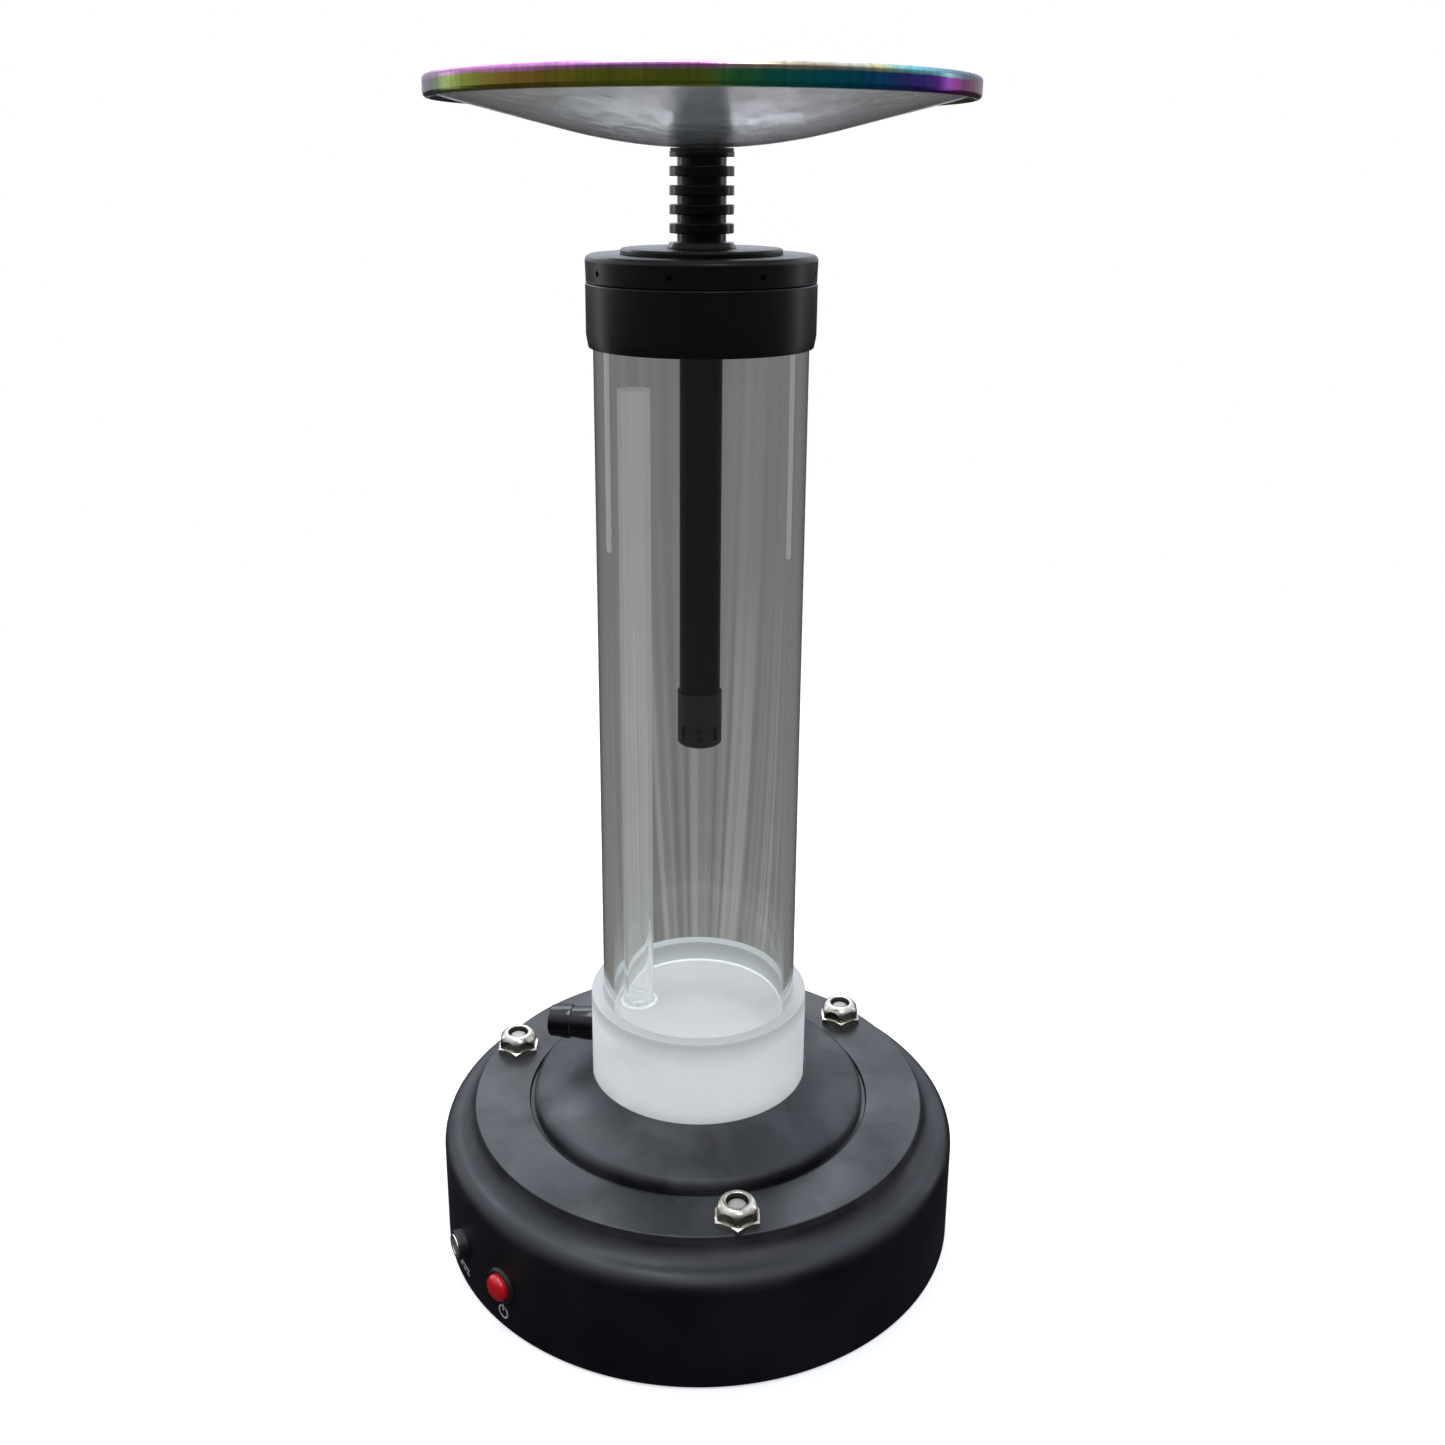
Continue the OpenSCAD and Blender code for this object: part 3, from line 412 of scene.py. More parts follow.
def rainbow():
    """Heat-coloured metal rim: the side and the top run through their own hues round the tray. A few stops, the
    bright green on the side and the yellow and cyan spots on the top, are painted glints.
    """
    k = Nodes("Rainbow_Rim")
    at = k.axes()
    turn = k.maths("ARCTAN2", at[0], k.maths("MULTIPLY", at[1], -1.0))
    wander = k.span(k.noise(24, 3), -0.10, 0.10, 0.3, 0.7)
    turn = k.span(k.maths("ADD", turn, wander), 0, 1, -math.pi, math.pi)

    def stops(rows):
        return [((a + 180) / 360, c) for a, c in rows]

    # The bright green stop near 9 degrees on the side is a painted glint.
    side = k.tones(turn, stops([
        (-178, (0.30, 0.36, 0.08)), (-140, (0.03, 0.34, 0.36)), (-112, (0.30, 0.10, 0.40)),
        (-92, (0.24, 0.25, 0.24)), (-72, (0.22, 0.25, 0.18)), (-62, (0.22, 0.36, 0.16)), (-50, (0.34, 0.44, 0.06)),
        (-33, (0.44, 0.24, 0.05)), (-22, (0.46, 0.48, 0.05)), (2, (0.34, 0.42, 0.05)), (9, (0.12, 0.52, 0.14)),
        (17, (0.03, 0.40, 0.26)), (27, (0.01, 0.34, 0.42)), (37, (0.03, 0.18, 0.52)), (43, (0.12, 0.04, 0.42)),
        (54, (0.34, 0.07, 0.30)), (68, (0.30, 0.19, 0.14)), (82, (0.26, 0.22, 0.14)), (110, (0.44, 0.46, 0.08)),
        (146, (0.10, 0.42, 0.26)), (170, (0.30, 0.36, 0.08))]), "LINEAR")
    # The yellow stops near 13 and 35 degrees and the cyan stop near 41 degrees on the top are painted glints.
    top = k.tones(turn, stops([
        (-170, (0.75, 0.45, 0.72)), (-120, (0.72, 0.76, 0.60)), (-84, (0.42, 0.42, 0.42)),
        (-64, (0.52, 0.44, 0.50)), (-44, (0.76, 0.30, 0.62)), (-20, (0.84, 0.34, 0.80)), (6, (0.82, 0.30, 0.72)),
        (13, (0.88, 0.70, 0.50)), (23, (0.66, 0.58, 0.42)), (30, (0.80, 0.82, 0.66)), (35, (0.86, 0.84, 0.36)),
        (41, (0.25, 0.84, 0.88)), (50, (0.26, 0.50, 0.54)), (66, (0.22, 0.27, 0.26)), (85, (0.30, 0.31, 0.30)),
        (120, (0.70, 0.66, 0.50)), (160, (0.80, 0.42, 0.74))]), "LINEAR")
    waver = k.span(k.noise(50, 3), -0.0003, 0.0003, 0.3, 0.7)
    up = k.span(k.maths("ADD", at[2], waver), 0, 1, 0.4657, 0.4663)
    lines = k.noise(420, 4, (1, 1, 0.03), 0.65)
    tone = k.mix(up, side, top)
    drawn = k.tones(lines, [(0.36, (0.66, 0.66, 0.66)), (0.56, (0.84, 0.84, 0.84)), (0.68, (0.92, 0.92, 0.92))])
    tone = k.mix(1.0, tone, drawn, "MULTIPLY")
    k.set(Base_Color=tone, Metallic=0.86, Roughness=k.span(k.noise(120, 6), 0.16, 0.30, 0.3, 0.75),
          Normal=k.bump(lines, 0.006))
    k.shader.inputs["Specular Tint"].default_value = (0.62, 0.50, 0.62, 1)
    return k.m


def bezel_metal():
    """Warm bright nickel with soft smears, and painted shade darkening the bore round each lamp."""
    k = Nodes("Bezel_Nickel")
    flat = k.plan(k.axes())
    near = None
    for a in SPOTS:
        axis = around(a, SPOT_R, 0).translation
        d = k.add("VectorMath", {0: flat, 1: axis}, operation="DISTANCE").outputs["Value"]
        near = d if near is None else k.maths("MINIMUM", near, d)
    # Darker inside each lamp's bore: painted shade in the recess.
    bore = k.span(near, 1, 0, 0.0043, 0.0046)
    tone = k.tones(k.noise(210, 6), [(0.30, (0.38, 0.35, 0.29)), (0.5, (0.58, 0.545, 0.465)),
                                     (0.72, (0.72, 0.69, 0.60))])
    k.set(Base_Color=k.mix(bore, tone, (0.10, 0.085, 0.07)), Metallic=1.0,
          Roughness=k.maths("ADD", k.span(k.noise(160, 6), 0.17, 0.30, 0.3, 0.7), k.maths("MULTIPLY", bore, 0.3)),
          Normal=k.bump(k.noise(420, 4), 0.010))
    return k.m


shell_black = shell_plastic()
# Both collar finishes glow as painted light from the lamps below; the socket floor glows more.
frost = frosted("Frosted_Acrylic", (0.27, 0.28, 0.285, 1))
frost_floor = frosted("Frosted_Floor", (0.41, 0.425, 0.445, 1))
rim_metal = rainbow()
acrylic = clear("Clear_Acrylic", (0.925, 0.945, 0.945), 1.49, 0.0, 0.010, (1, 1, 0.03), 150)
# The riser's faint emission is painted light that makes it read lighter than the tube.
riser_clear = clear("Riser_Acrylic", (0.95, 0.96, 0.955), 1.49, 0.02, 0.006, (1, 1, 0.03), 420, glow=0.042)
dish_glass = clear("Tray_Glass", (0.90, 0.92, 0.91), 1.52, 0.10, 0.05, (1, 1, 1), 150, spread=0.16)
cap_black = moulded("Cap_Satin", (0.0032, 0.0033, 0.0034), 0.36, (2400, 0.010), (30, 0.14), (40, 0.04))
stem_gloss = moulded("Stem_Gloss", (0.0030, 0.0030, 0.0032), 0.24, (900, 0.0012), (60, 0.15), (70, 0.05))
port_gloss = moulded("Port_Gloss", (0.0035, 0.0035, 0.0038), 0.15, (700, 0.0015), (70, 0.15), (90, 0.05))
soft_black = moulded("Seal_Rubber", (0.0045, 0.0045, 0.0048), 0.50, (1800, 0.015), (60, 0.18), (80, 0.06))
silicone = moulded("Grommet_Silicone", (0.185, 0.195, 0.205), 0.50, (1500, 0.012), (45, 0.12), (60, 0.05))
chrome = bezel_metal()
nickel = moulded("Jack_Nickel", (0.86, 0.84, 0.78), 0.30, (600, 0.004), (120, 0.06), (200, 0.05), metal=1.0)
socket_black = moulded("Socket_Black", (0.014, 0.014, 0.0145), 0.42, (2000, 0.012), (80, 0.15), (90, 0.06))
red = moulded("Button_Red", (0.56, 0.0070, 0.0115), 0.26, (1400, 0.002), (90, 0.10), (120, 0.05), coat=0.35)
lens = moulded("Lamp_Resin", (0.34, 0.33, 0.30), 0.42, (1200, 0.006), (200, 0.10), (150, 0.05), coat=0.2)
steel = moulded("Screw_Zinc", (0.56, 0.57, 0.58), 0.32, (900, 0.010), (150, 0.12), (200, 0.08), metal=1.0)
spring = moulded("Spring_Wire", (0.48, 0.48, 0.49), 0.28, (900, 0.006), (200, 0.10), (200, 0.06), metal=1.0)
brass = moulded("Terminal_Brass", (0.66, 0.52, 0.27), 0.34, (900, 0.006), (200, 0.12), (200, 0.08), metal=1.0)
foot_rubber = moulded("Foot_Rubber", (0.040, 0.040, 0.042), 0.72, (1600, 0.03), (60, 0.18), (60, 0.06))
plate_black = moulded("Plate_Black", (0.017, 0.017, 0.018), 0.52, (1300, 0.025), (40, 0.15), (50, 0.06))
board_white = moulded("Board_White", (0.74, 0.74, 0.70), 0.40, (1400, 0.008), (60, 0.06), (80, 0.05))
board_green = moulded("Board_Green", (0.030, 0.155, 0.062), 0.34, (1400, 0.008), (120, 0.20), (120, 0.06), coat=0.3)
chip_black = moulded("Parts_Black", (0.030, 0.030, 0.034), 0.50, (1800, 0.012), (160, 0.15), (160, 0.06))
led_yellow = moulded("Lamp_Phosphor", (0.86, 0.74, 0.34), 0.36, (1500, 0.006), (300, 0.08), (300, 0.05))
sheath = moulded("Wire_Sheath", (0.012, 0.012, 0.0125), 0.44, (2400, 0.008), (100, 0.15), (120, 0.06))
print_white = moulded("Wall_Print", (0.50, 0.50, 0.51), 0.52, (2600, 0.006), (900, 0.30), (300, 0.06))
ball_steel = moulded("Ball_Steel", (0.62, 0.63, 0.64), 0.12, (900, 0.002), (200, 0.05), (200, 0.03), metal=1.0)

# ---------------------------------------------------------------- base
shell = [(109, 1)] + arc((102, 42), 7, 0, 80, 14) + arc((104.865, 58.249), 9.5, 260, 195, 14)
shell += arc((95.089, 57.2), 0.6, 0, 90, 6) + [(72.9, 57.8), (72.5, 57.62), (72.32, 57.3), (72.1, 56.4), (70.6, 56.4)]
shell += arc((66.1, 58.6), 4.5, 0, 68, 14)
shell += bezier((67.786, 62.772), (60.486, 65.572), (54.4, 66.4), (46.2, 71.4), 20)[1:]
shell += [(45.85, 71.35), (45.6, 70.9), (45.6, 66.5), (30, 66.5), (30, 63.7), (48.2, 63.7), (56, 63), (66, 60),
          (68, 58)]
shell += [(68, 53.8), (75, 53.8), (75, 55.2)] + arc((104.865, 58.249), 12.1, 195, 255, 10)
shell += arc((102, 42), 4.4, 80, 0, 10) + [(106.4, 1)]
base = turned("Base_Skin", shell, 360)


def base_holes(bm):
    """Holes for the socket and the button, each with a flat seat in the wall, and for the three spot lights."""
    for at, r, seat in ((JACK_AT, 5.55, 6.05), (BUTTON_AT, 6.1, 7.45)):
        rim = seat + 0.25
        drill(bm, [(0, 100), (r, 100), (r, WALL_FACE), (seat, WALL_FACE), (rim, 109.4), (rim, 114), (0, 114)],
              outwards(*at), 72)
    for a in SPOTS:
        drill(bm, [(0, 50), (7.25, 50), (7.25, 55.2), (5.45, 55.2), (5.45, 61), (0, 61)], around(a, SPOT_R, 0), 72)


carve(base, solid("holes", base_holes))
dress(base, "base_shell", shell_black)

# ---------------------------------------------------------------- collar
collar_line = rounded([(0, 67.5), (45.2, 67.5), (45.2, 107.5), (40.05, 107.5),
                       (40.05, COLLAR_FLOOR), (0, COLLAR_FLOOR)], 0.5, 4)
collar = turned("Collar_Body", collar_line, 256)


def collar_bore(bm):
    """The hose passage, stepped out for the barb and its seal."""
    lathe(bm, [(0, 21.4), (3, 22.2), (4.7, 26), (4.7, 32.4), (6.05, 32.4), (6.05, 44.5), (7.8, 44.5), (7.8, 47),
               (0, 47)], 64)


def collar_screws(bm):
    """Blind holes for the screws that hold the collar from below."""
    for a in COLLAR_SCREWS:
        drill(bm, [(0, 66), (1.95, 66), (1.95, 80), (0, 81.2)], around(a, COLLAR_SCREW_R, 0), 32)


riser_axis = Matrix.Translation((RISER[0] * MM, RISER[1] * MM, 0))
carve(collar, turned("socket", cylinder(6.55, 96.5, 101), 64, riser_axis))
carve(collar, turned("passage", cylinder(4.7, 84, 97), 64, riser_axis))
carve(collar, solid("bore", collar_bore, outwards(*PORT_AT)))
carve(collar, solid("screw_holes", collar_screws))
dress(collar, "frosted_collar", frost)
collar.data.materials.append(frost_floor)
for face in collar.data.polygons:
    centre = face.center / MM
    if abs(centre.z - COLLAR_FLOOR) < 0.3 and math.hypot(centre.x, centre.y) < 39:
        face.material_index = 1

# ---------------------------------------------------------------- tubes and port
tube = turned("Tube_Wall", rounded([(36, COLLAR_FLOOR), (40, COLLAR_FLOOR), (40, 390), (36, 390)], 0.35, 3), 256)
dress(tube, "main_tube", acrylic)
riser = turned("Riser_Wall", rounded([(4.7, 96.5), (6.5, 96.5), (6.5, 359), (4.7, 359)], 0.3, 4), 96, riser_axis)
dress(riser, "hose_riser", riser_clear)
weld_line = [(6.5, COLLAR_FLOOR)] + bezier((8.2, COLLAR_FLOOR), (7.4, 99.8), (6.8, 100.4), (6.5, 101.3), 6)
weld = turned("Riser_Glue", weld_line, 96, riser_axis)
dress(weld, "riser_weld", acrylic)
port_line = rounded([(4.7, 32.5), (6, 32.5), (6, 45.5), (7.2, 45.5), (7.2, 48), (6.45, 55.15), (7.2, 55.15),
                     (7.2, 57.15), (6.5, 64.2), (6, 64.8), (4.7, 64.8)], 0.22, 3)
port = turned("Port_Body", port_line, 128, outwards(*PORT_AT))
dress(port, "hose_port", port_gloss)

# ---------------------------------------------------------------- head
PLUG_R, GROOVE_R = 35.65, 33.25
skirt_line = [(STEM_BORE, 375.8), (12, 375.8), (12, 390), (31.85, 390), (31.85, 375.8), (PLUG_R, 375.8)]
for low, high in ((380.4 - 1.35, 380.4 + 1.35), (386 - 1.35, 386 + 1.35)):
    skirt_line += [(PLUG_R, low), (GROOVE_R, low), (GROOVE_R, high), (PLUG_R, high)]
skirt_line += [(PLUG_R, 390.4), (40.35, 390.4), (40.35, 375.4), (41.7, 375.4), (42.5, 379.9), (42.5, 398.1),
               (42.1, 398.5), (39.4, 398.5), (39.4, 400.5), (STEM_BORE, 400.5)]
skirt = turned("Cap_Skirt_Body", rounded(skirt_line, 0.3, 3), 256)


def ball_pockets(bm):
    """Pockets for the purge balls, each with a narrower hole down into the tube."""
    for a in PURGE_BALLS:
        drill(bm, [(0, 389), (2, 389), (2, 396.5), (3.35, 396.5), (3.35, 402), (0, 402)], around(a, PURGE_R, 0), 48)


carve(skirt, solid("pockets", ball_pockets))
dress(skirt, "cap_skirt", cap_black)
lid_line = rounded([(STEM_BORE, 400.5), (12, 400.5), (12, 404.5), (39.45, 404.5), (39.45, 398.75), (42.1, 398.75),
                    (42.5, 399.15)], 0.12, 2)
lid_line += arc((40.3, 406.3), 2.2, 0, 90, 12) + [(STEM_BORE, 408.5)]
lid = turned("Cap_Lid_Body", lid_line, 256)


def vents(bm):
    """Small vent holes round the lid, with a chamfer."""
    for k in range(VENTS):
        drill(bm, [(0, 38.6), (1, 38.6), (1, 42.28), (1.25, 42.6), (1.25, 44), (0, 44)],
              outwards(FIRST_VENT + 360 // VENTS * k, 402.6), 32)


carve(lid, solid("vent_holes", vents))
dress(lid, "cap_lid", cap_black)
plate_line = rounded([(STEM_BORE, 408.5), (29.7, 408.5), (29.7, 409.9), (29, 410.6), (STEM_BORE, 410.6)], 0.25, 4)
plate = turned("Cap_Disc", plate_line, 192)
dress(plate, "cap_plate", cap_black)
stem_dull = moulded("Stem_Dull", (0.0016, 0.0016, 0.0018), 0.34, (900, 0.0008), (60, 0.15), (70, 0.05),
                    specular=0.08)
pipe = turned("Downstem_Pipe", rounded([(6, 229), (8, 229), (8, 398.9), (6, 398.9)], 0.3, 3), 128)
dress(pipe, "downstem", stem_dull)
sleeve_line = rounded([(0, 219), (8, 219), (8.8, 219.8), (8.8, 241), (STEM_BORE, 241), (STEM_BORE, 229), (6, 229),
                       (6, 221), (0, 221)], 0.25, 3)
sleeve = turned("Diffuser_Sleeve", sleeve_line, 128)


def sleeve_slots(bm):
    """Eight slots round the sleeve's end and six small holes through its floor."""
    for k in range(8):
        cut = bmesh.new()
        prism(cut, [(-0.9, 4.6), (0.9, 4.6), (0.9, 10), (-0.9, 10)], 222, 227.5)
        cut.transform(Matrix.Rotation(math.radians(45 * k), 4, "Z"))
        join(bm, cut)
    for k in range(6):
        drill(bm, cylinder(0.9, 218, 222), around(60 * k, 3.6, 0), 20)


carve(sleeve, solid("slots", sleeve_slots))
dress(sleeve, "diffuser", soft_black)
neck_line = [(5, 399), (8, 399), (8, 410.6), (13.1, 410.6), (12.5, 411.3)]
for i in range(RIBS):
    z = FIRST_RIB + RIB_PITCH * i
    neck_line += [(11.7, z - 0.25), (11.45, z), (8.9, z), (8.9, z + RIB_GAP), (11.45, z + RIB_GAP), (11.7, z + 3.35)]
neck_line += [(11.7, 443.7), (11.4, 444), (6.5, 444), (6.5, 463.4), (5.9, 464), (5, 464)]
neck = turned("Neck_Ribs", rounded(neck_line, 0.2, 3), 160)
dress(neck, "stem_neck", stem_gloss)


# ---------------------------------------------------------------- tray
def rise(r):
    """How far the dish stands above its middle: a shallow bowl out to 50 mm, then a straight slope."""
    return r * r / 400 if r < 50 else 6.25 + 0.25 * (r - 50)


radii = [DISH_BORE + (DISH_R - DISH_BORE) * i / DISH_STEPS for i in range(DISH_STEPS + 1)]
dish_line = [(r, 445.1 + rise(r)) for r in radii] + [(r, 448.7 + rise(r)) for r in reversed(radii)]
dish = turned("Tray_Dish", dish_line, 256)
dress(dish, "tray_glass", dish_glass)
rim_line = arc((95.8, 462.6), 1.6, -172, 0, 20) + arc((95.8, 466.8), 1.6, 0, 172, 20)
rim_line += [(94.25, 466.04), (95.43, 466.34), (95.43, 462.66), (94.25, 462.38)]
rim = turned("Rim_Band", rim_line, 360)
dress(rim, "tray_rim", rim_metal)
cone_line = rounded([(6.6, 449.4), (11.8, 449.4), (8.7, 470.2), (7.9, 471), (6.6, 471)], 0.35, 4)
cone = turned("Grommet_Cone", cone_line, 128)
dress(cone, "bowl_grommet", silicone)

# ---------------------------------------------------------------- spots
crown_line = [(BEZEL_BORE, 1), (9.2, 1), (9.2, 2.9)]
crown_line += bezier((8.7, 3.4), (8.5, 6.2), (6.9, BEZEL_TOP), (5.1, BEZEL_TOP), 26)
crown_line += [(4.8, 8.46), (4.55, 8.35), (4.32, 8.1), (BEZEL_BORE, 7.8)]
FLAT = NUT_R * math.cos(math.radians(30))
flange_line = [(BEZEL_BORE, 0), (9.75, 0), (9.9, 0.12), (9.9, 1.62), (FLAT + 0.25, 2.52), (FLAT - 0.35, 2.6),
               (BEZEL_BORE, 2.6)]
barrel_line = [(BEZEL_BORE, -12), (5.1, -12), (5.3, -11.8), (5.3, 0.5), (BEZEL_BORE, 0.5)]


def hexagon(name, r, z0, z1, place, soft):
    """A six-sided bar with a corner to the front and softly rounded upright edges."""
    corners = [(r * math.cos(math.radians(30 + 60 * k)), r * math.sin(math.radians(30 + 60 * k))) for k in range(6)]
    o = solid(name, lambda bm: prism(bm, corners, z0, z1), place)
    bm = bmesh.new()
    bm.from_mesh(o.data)
    upright = [e for e in bm.edges if abs(e.verts[0].co.z - e.verts[1].co.z) > 0.5 * (z1 - z0) * MM]
    bmesh.ops.bevel(bm, geom=upright, offset=soft * MM, segments=4, profile=0.5, affect="EDGES")
    bm.to_mesh(o.data)
    bm.free()
    return o


for n, a in enumerate(SPOTS, 1):
    seat = around(a, SPOT_R, RING_TOP)
    front = seat @ Matrix.Rotation(math.radians(-a), 4, "Z")
    bezel = turned(f"Spot_Dome_{n}", crown_line, 144, seat)
    carve(bezel, hexagon("body", 8.9, 0.5, 11, front, 0.45), "INTERSECT")
    flange = turned("flange", flange_line, 144, seat)
    carve(flange, hexagon("nut", NUT_R, -0.5, 3, front, 0.22), "INTERSECT")
    carve(bezel, flange, "UNION")
    carve(bezel, turned("barrel", barrel_line, 96, seat), "UNION")
    dress(bezel, f"spot_bezel_{n}", chrome)
    lamp_line = [(0, -3), (3.9, -3), (4, -2.9)] + bezier((4, 5.0), (4, 6.7), (2.4, 7.2), (0, 7.2), 16)
    lamp = turned(f"Lamp_Dome_{n}", lamp_line, 96, seat)
    for side in (-1.27, 1.27):
        leg = turned("leg", cylinder(0.3, -13, -2.9), 20, seat @ Matrix.Translation((side * MM, 0, 0)))
        carve(lamp, leg, "UNION")
    dress(lamp, f"spot_led_{n}", lens)

# ---------------------------------------------------------------- jack and button
JACK, BUTTON = outwards(*JACK_AT), outwards(*BUTTON_AT)
jack_line = [(0, 92), (5.4, 92), (5.4, WALL_FACE), (5.9, WALL_FACE)] + arc((5.3, 112.0), 0.6, 0, 90, 6)
jack_line += [(4.98, 112.6), (4.85, 112.47), (4.85, 100), (0, 100)]
jack = turned("Jack_Body", jack_line, 96, JACK)
dress(jack, "dc_jack_body", socket_black)
ring = rounded([(3.2, 100), (4.8, 100), (4.8, 113.1), (3.2, 113.1)], 0.25, 4)
contact = turned("Jack_Ring", ring, 96, JACK)
tail = turned("tail", cylinder(0.7, 87, 100.5), 24, JACK @ Matrix.Translation((0, 4 * MM, 0)))
carve(contact, tail, "UNION")
dress(contact, "dc_jack_sleeve", nickel)
pin_line = [(0, 87), (0.7, 87), (0.7, 100), (1, 100), (1, 110.1), (0.85, 110.38), (0.6, 110.6), (0, 110.6)]
pin = turned("Jack_Pin", pin_line, 48, JACK)
dress(pin, "dc_jack_pin", nickel)
frame_line = rounded([(5.45, 98), (5.95, 98), (5.95, WALL_FACE), (7.3, WALL_FACE), (7.3, 109.85), (6.5, 110.65),
                      (5.45, 110.65)], 0.2, 3)
button_frame = turned("Button_Frame", frame_line, 128, BUTTON)
dress(button_frame, "switch_bezel", socket_black)
cap_line = [(0, 92), (4.2, 92), (4.2, 101), (5.2, 101), (5.35, 101.15)]
cap_line += bezier((5.35, 111.3), (5.35, 113.3), (3.3, 114.2), (0, 114.2), 20)
button = turned("Button_Cap", cap_line, 128, BUTTON)
dress(button, "switch_button", red)

# ---------------------------------------------------------------- CAD pieces that keep their mesh
FINISH = {
    "plate_black": plate_black, "foot_rubber": foot_rubber, "screw_steel": steel, "seal_rubber": soft_black,
    "board_white": board_white, "led_white": led_yellow, "board_green": board_green, "chip_black": chip_black,
    "wire_black": sheath, "jack_black": socket_black, "terminal_brass": brass, "spring_steel": spring,
    "mark_white": print_white, "ball_steel": ball_steel, "frosted_acrylic": frost, "clear_acrylic": acrylic,
    "bezel_chrome": chrome, "lamp_lens": lens, "shell_black": shell_black, "cap_black": cap_black,
    "stem_black": stem_gloss, "gloss_black": port_gloss, "jack_nickel": nickel, "button_red": red,
    "tray_glass": dish_glass, "rim_rainbow": rim_metal, "grommet_grey": silicone,
}
for o in frame["nodes"].values():
    for part in o.material_slots:
        part.material = FINISH[part.material.name.split(".")[0]]


# ---------------------------------------------------------------- room, lights and camera
class Tree(Nodes):
    """The same short way for the floor and the sky, which aren't part of the object."""

    def __init__(self, owner):
        owner.use_nodes = True
        self.t = owner.node_tree

    def glow(self, colour, strength=1.0):
        n = self.add("Emission", {"Strength": strength})
        self.put(n.inputs["Color"], (*colour, 1) if isinstance(colour, tuple) else colour)
        return n.outputs[0]

    def either(self, share, a, b):
        return self.add("MixShader", {0: share, 1: a, 2: b}).outputs[0]


scene = bpy.context.scene
floor_mesh = bpy.data.meshes.new("Floor")
HALF_FLOOR = 9
floor_mesh.from_pydata([(x * HALF_FLOOR, y * HALF_FLOOR, 0) for x, y in ((-1, -1), (1, -1), (1, 1), (-1, 1))], [],
                       [(0, 1, 2, 3)])
floor = bpy.data.objects.new("Floor", floor_mesh)
scene.collection.objects.link(floor)
table = bpy.data.materials.new("Floor_Pale")
floor_mesh.materials.append(table)
k = Tree(table)
matt = k.t.nodes["Principled BSDF"]
matt.inputs["Base Color"].default_value = (0.60, 0.60, 0.605, 1)
matt.inputs["Roughness"].default_value = 0.95
ray = k.add("LightPath").outputs
far = k.span(k.length(k.where()), 0, 1, 0.25, 1.1)
lit = k.add("AddShader", {0: matt.outputs[0], 1: k.glow((0.53, 0.53, 0.535))}).outputs[0]
pale = k.either(far, lit, k.glow(PAPER_WHITE))
kept = k.either(ray["Is Diffuse Ray"], pale, k.glow((0.24, 0.24, 0.25)))
kept = k.either(ray["Is Glossy Ray"], kept, k.glow((0.022, 0.022, 0.026)))
bearing = k.add("VectorMath", {0: k.where()}, operation="NORMALIZE").outputs[0]
bands = k.add("TexNoise", {"Vector": bearing, "Scale": 42.0, "Detail": 2.5, "Roughness": 0.6}).outputs[0]
behind = k.tones(bands, [(0.34, (0.16, 0.158, 0.148)), (0.50, (0.24, 0.237, 0.226)), (0.62, (0.34, 0.338, 0.326)),
                         (0.72, (0.27, 0.27, 0.27))])
behind = k.mix(k.maths("MULTIPLY", far, 0.8), behind, ROOM_GREY)
kept = k.either(ray["Is Transmission Ray"], kept, k.glow(behind))
k.put(k.t.nodes["Material Output"].inputs[0], kept)

world = bpy.data.worlds.new("Studio")
scene.world = world
k = Tree(world)
ray = k.add("LightPath").outputs
towards = k.add("TexCoord").outputs["Generated"]
height = k.add("VectorMath", {0: towards, 1: (-0.10, 0.42, 0.90)}, operation="DOT_PRODUCT").outputs["Value"]
sky = k.tones(k.span(height, 0, 1, -1, 1), [
    (0.0, (0.03, 0.03, 0.035)), (0.42, (0.04, 0.04, 0.045)), (0.56, (0.30, 0.30, 0.31)),
    (0.74, (0.66, 0.70, 0.80)), (0.92, (0.95, 1.02, 1.18)), (1.0, (0.95, 1.02, 1.18))], "LINEAR")
streak = k.add("Mapping", {"Vector": towards, "Scale": (1, 1, 0.04)}).outputs[0]
streak = k.add("TexNoise", {"Vector": streak, "Scale": 9.0, "Detail": 2.0, "Roughness": 0.5}).outputs[0]
through = k.tones(streak, [(0.34, (0.24, 0.24, 0.228)), (0.50, (0.32, 0.32, 0.31)), (0.66, (0.42, 0.42, 0.41))])
lift = k.add("SeparateXYZ", {"Vector": towards}).outputs[2]
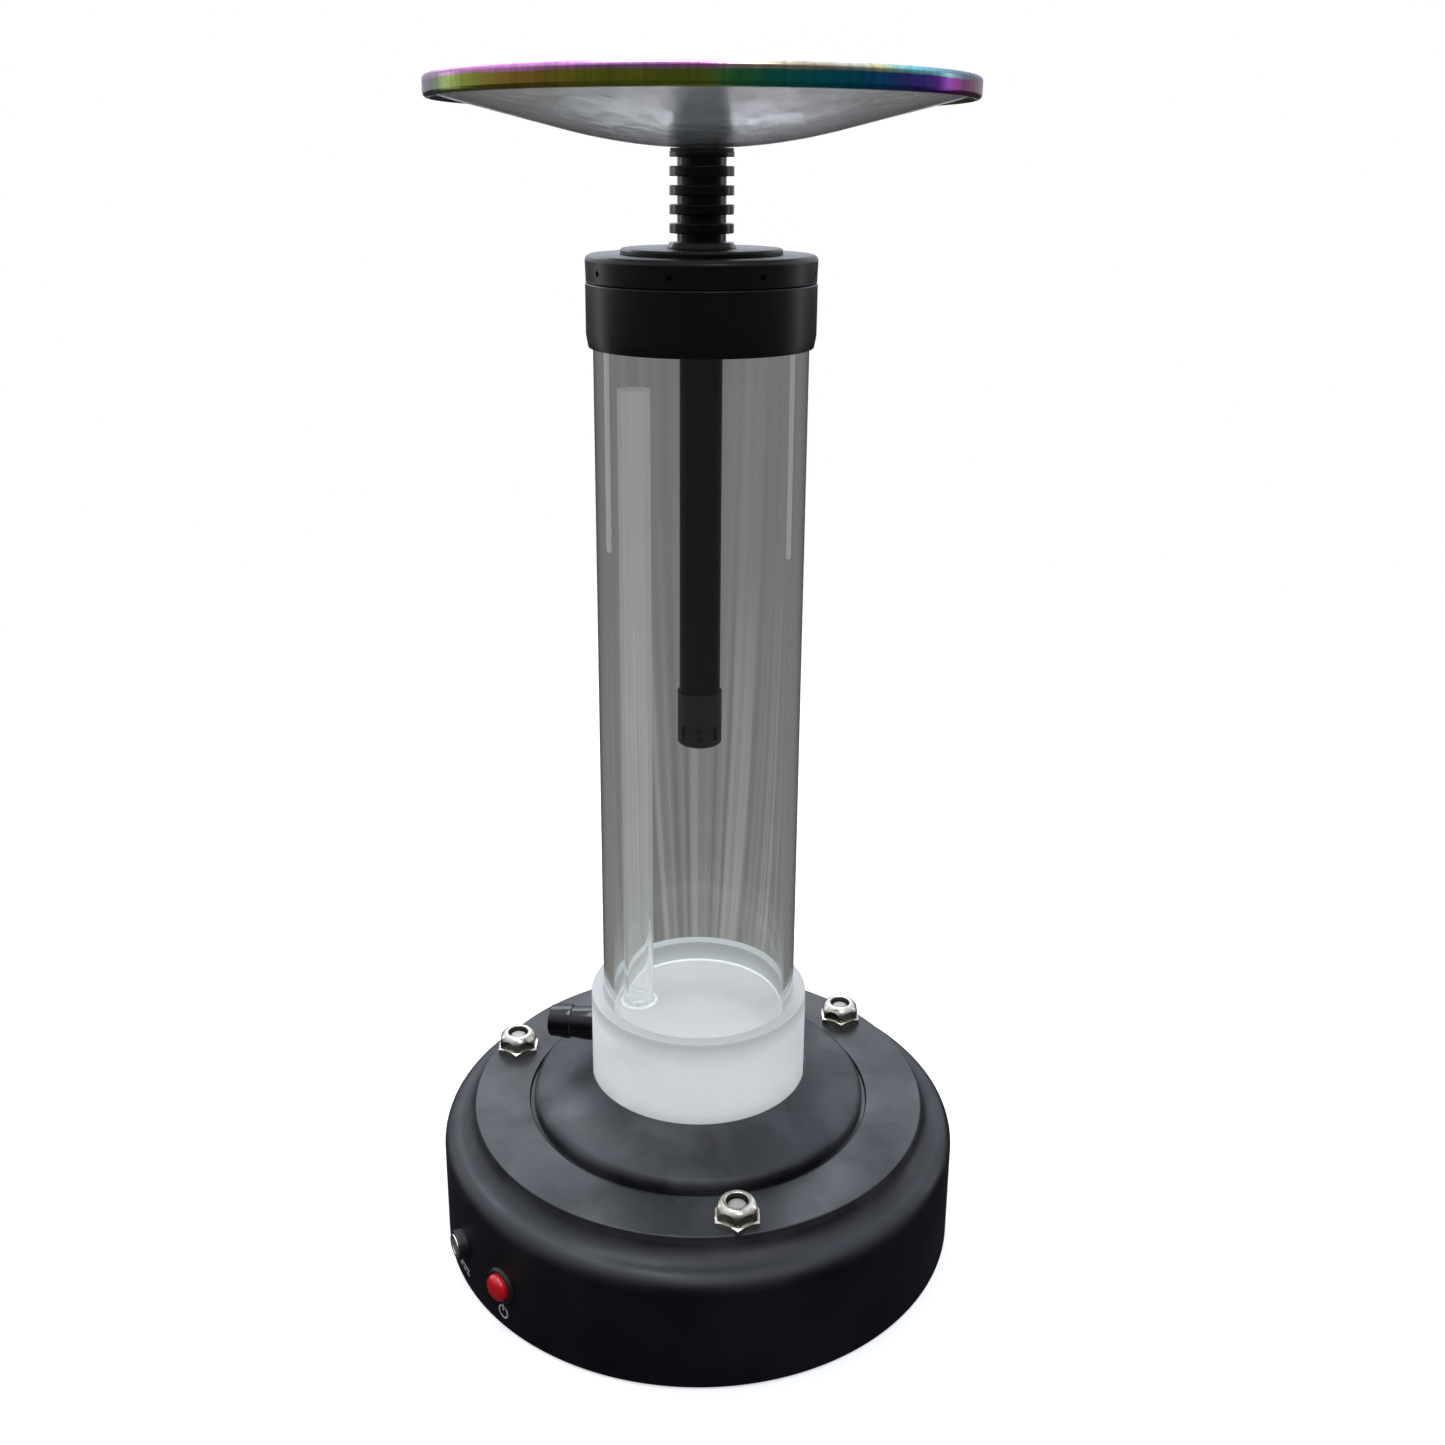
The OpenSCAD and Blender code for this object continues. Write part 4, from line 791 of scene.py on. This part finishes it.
through = k.mix(k.span(lift, 0, 1, 0.0, 0.045), ROOM_GREY, through)
seen = k.either(ray["Is Transmission Ray"], k.glow(sky, 1.25), k.glow(through))
seen = k.either(ray["Is Camera Ray"], seen, k.glow(PAPER_WHITE))
k.put(k.t.nodes["World Output"].inputs[0], seen)


def area(name, at, look, size, watts, tint=(1, 1, 1)):
    """A soft box that neither the camera nor the clear parts see."""
    lamp = bpy.data.lights.new(name, "AREA")
    lamp.shape, lamp.size, lamp.size_y = "RECTANGLE", size[0], size[1]
    lamp.energy, lamp.color = watts, tint
    o = bpy.data.objects.new(name, lamp)
    o.matrix_world = (Matrix.Translation(at)
                      @ (Vector(look) - Vector(at)).to_track_quat("-Z", "Y").to_matrix().to_4x4())
    o.visible_camera = False
    o.visible_transmission = False
    scene.collection.objects.link(o)


area("Key_Back", (-0.30, 1.15, 1.25), (0, 0, 0.1), (1.3, 0.7), 9, (0.90, 0.96, 1.0))
area("Key_Top", (-0.15, 0.05, 1.65), (0, 0, 0.1), (0.9, 0.7), 12, (0.90, 0.95, 1.0))
area("Strip_Left", (-0.95, 0.50, 0.34), (0, 0, 0.28), (0.22, 0.62), 0.55)
area("Strip_Right", (0.98, 0.38, 0.34), (0, 0, 0.28), (0.18, 0.62), 0.45)
area("Fill_Front", (0.35, -1.1, 1.6), (0, 0, 0.15), (0.5, 0.5), 6)

# The camera that fits the circles of the tray, cap, tube, collar and base in the photograph.
CAMERA_AT, CAMERA_TILT, CAMERA_ROLL = (0, -0.5588, 0.4380), 72.59, 0.24
camera = bpy.data.objects.new("Camera", bpy.data.cameras.new("Camera"))
scene.collection.objects.link(camera)
camera.matrix_world = (Matrix.Translation(CAMERA_AT) @ Matrix.Rotation(math.radians(CAMERA_TILT), 4, "X")
                       @ Matrix.Rotation(math.radians(CAMERA_ROLL), 4, "Z"))
camera.data.sensor_width, camera.data.lens = 36, 37.12
camera.data.shift_x, camera.data.shift_y = 0.0156, -0.0598
camera.data.clip_start = 0.01
scene.camera = camera
scene.view_settings.view_transform = "Standard"
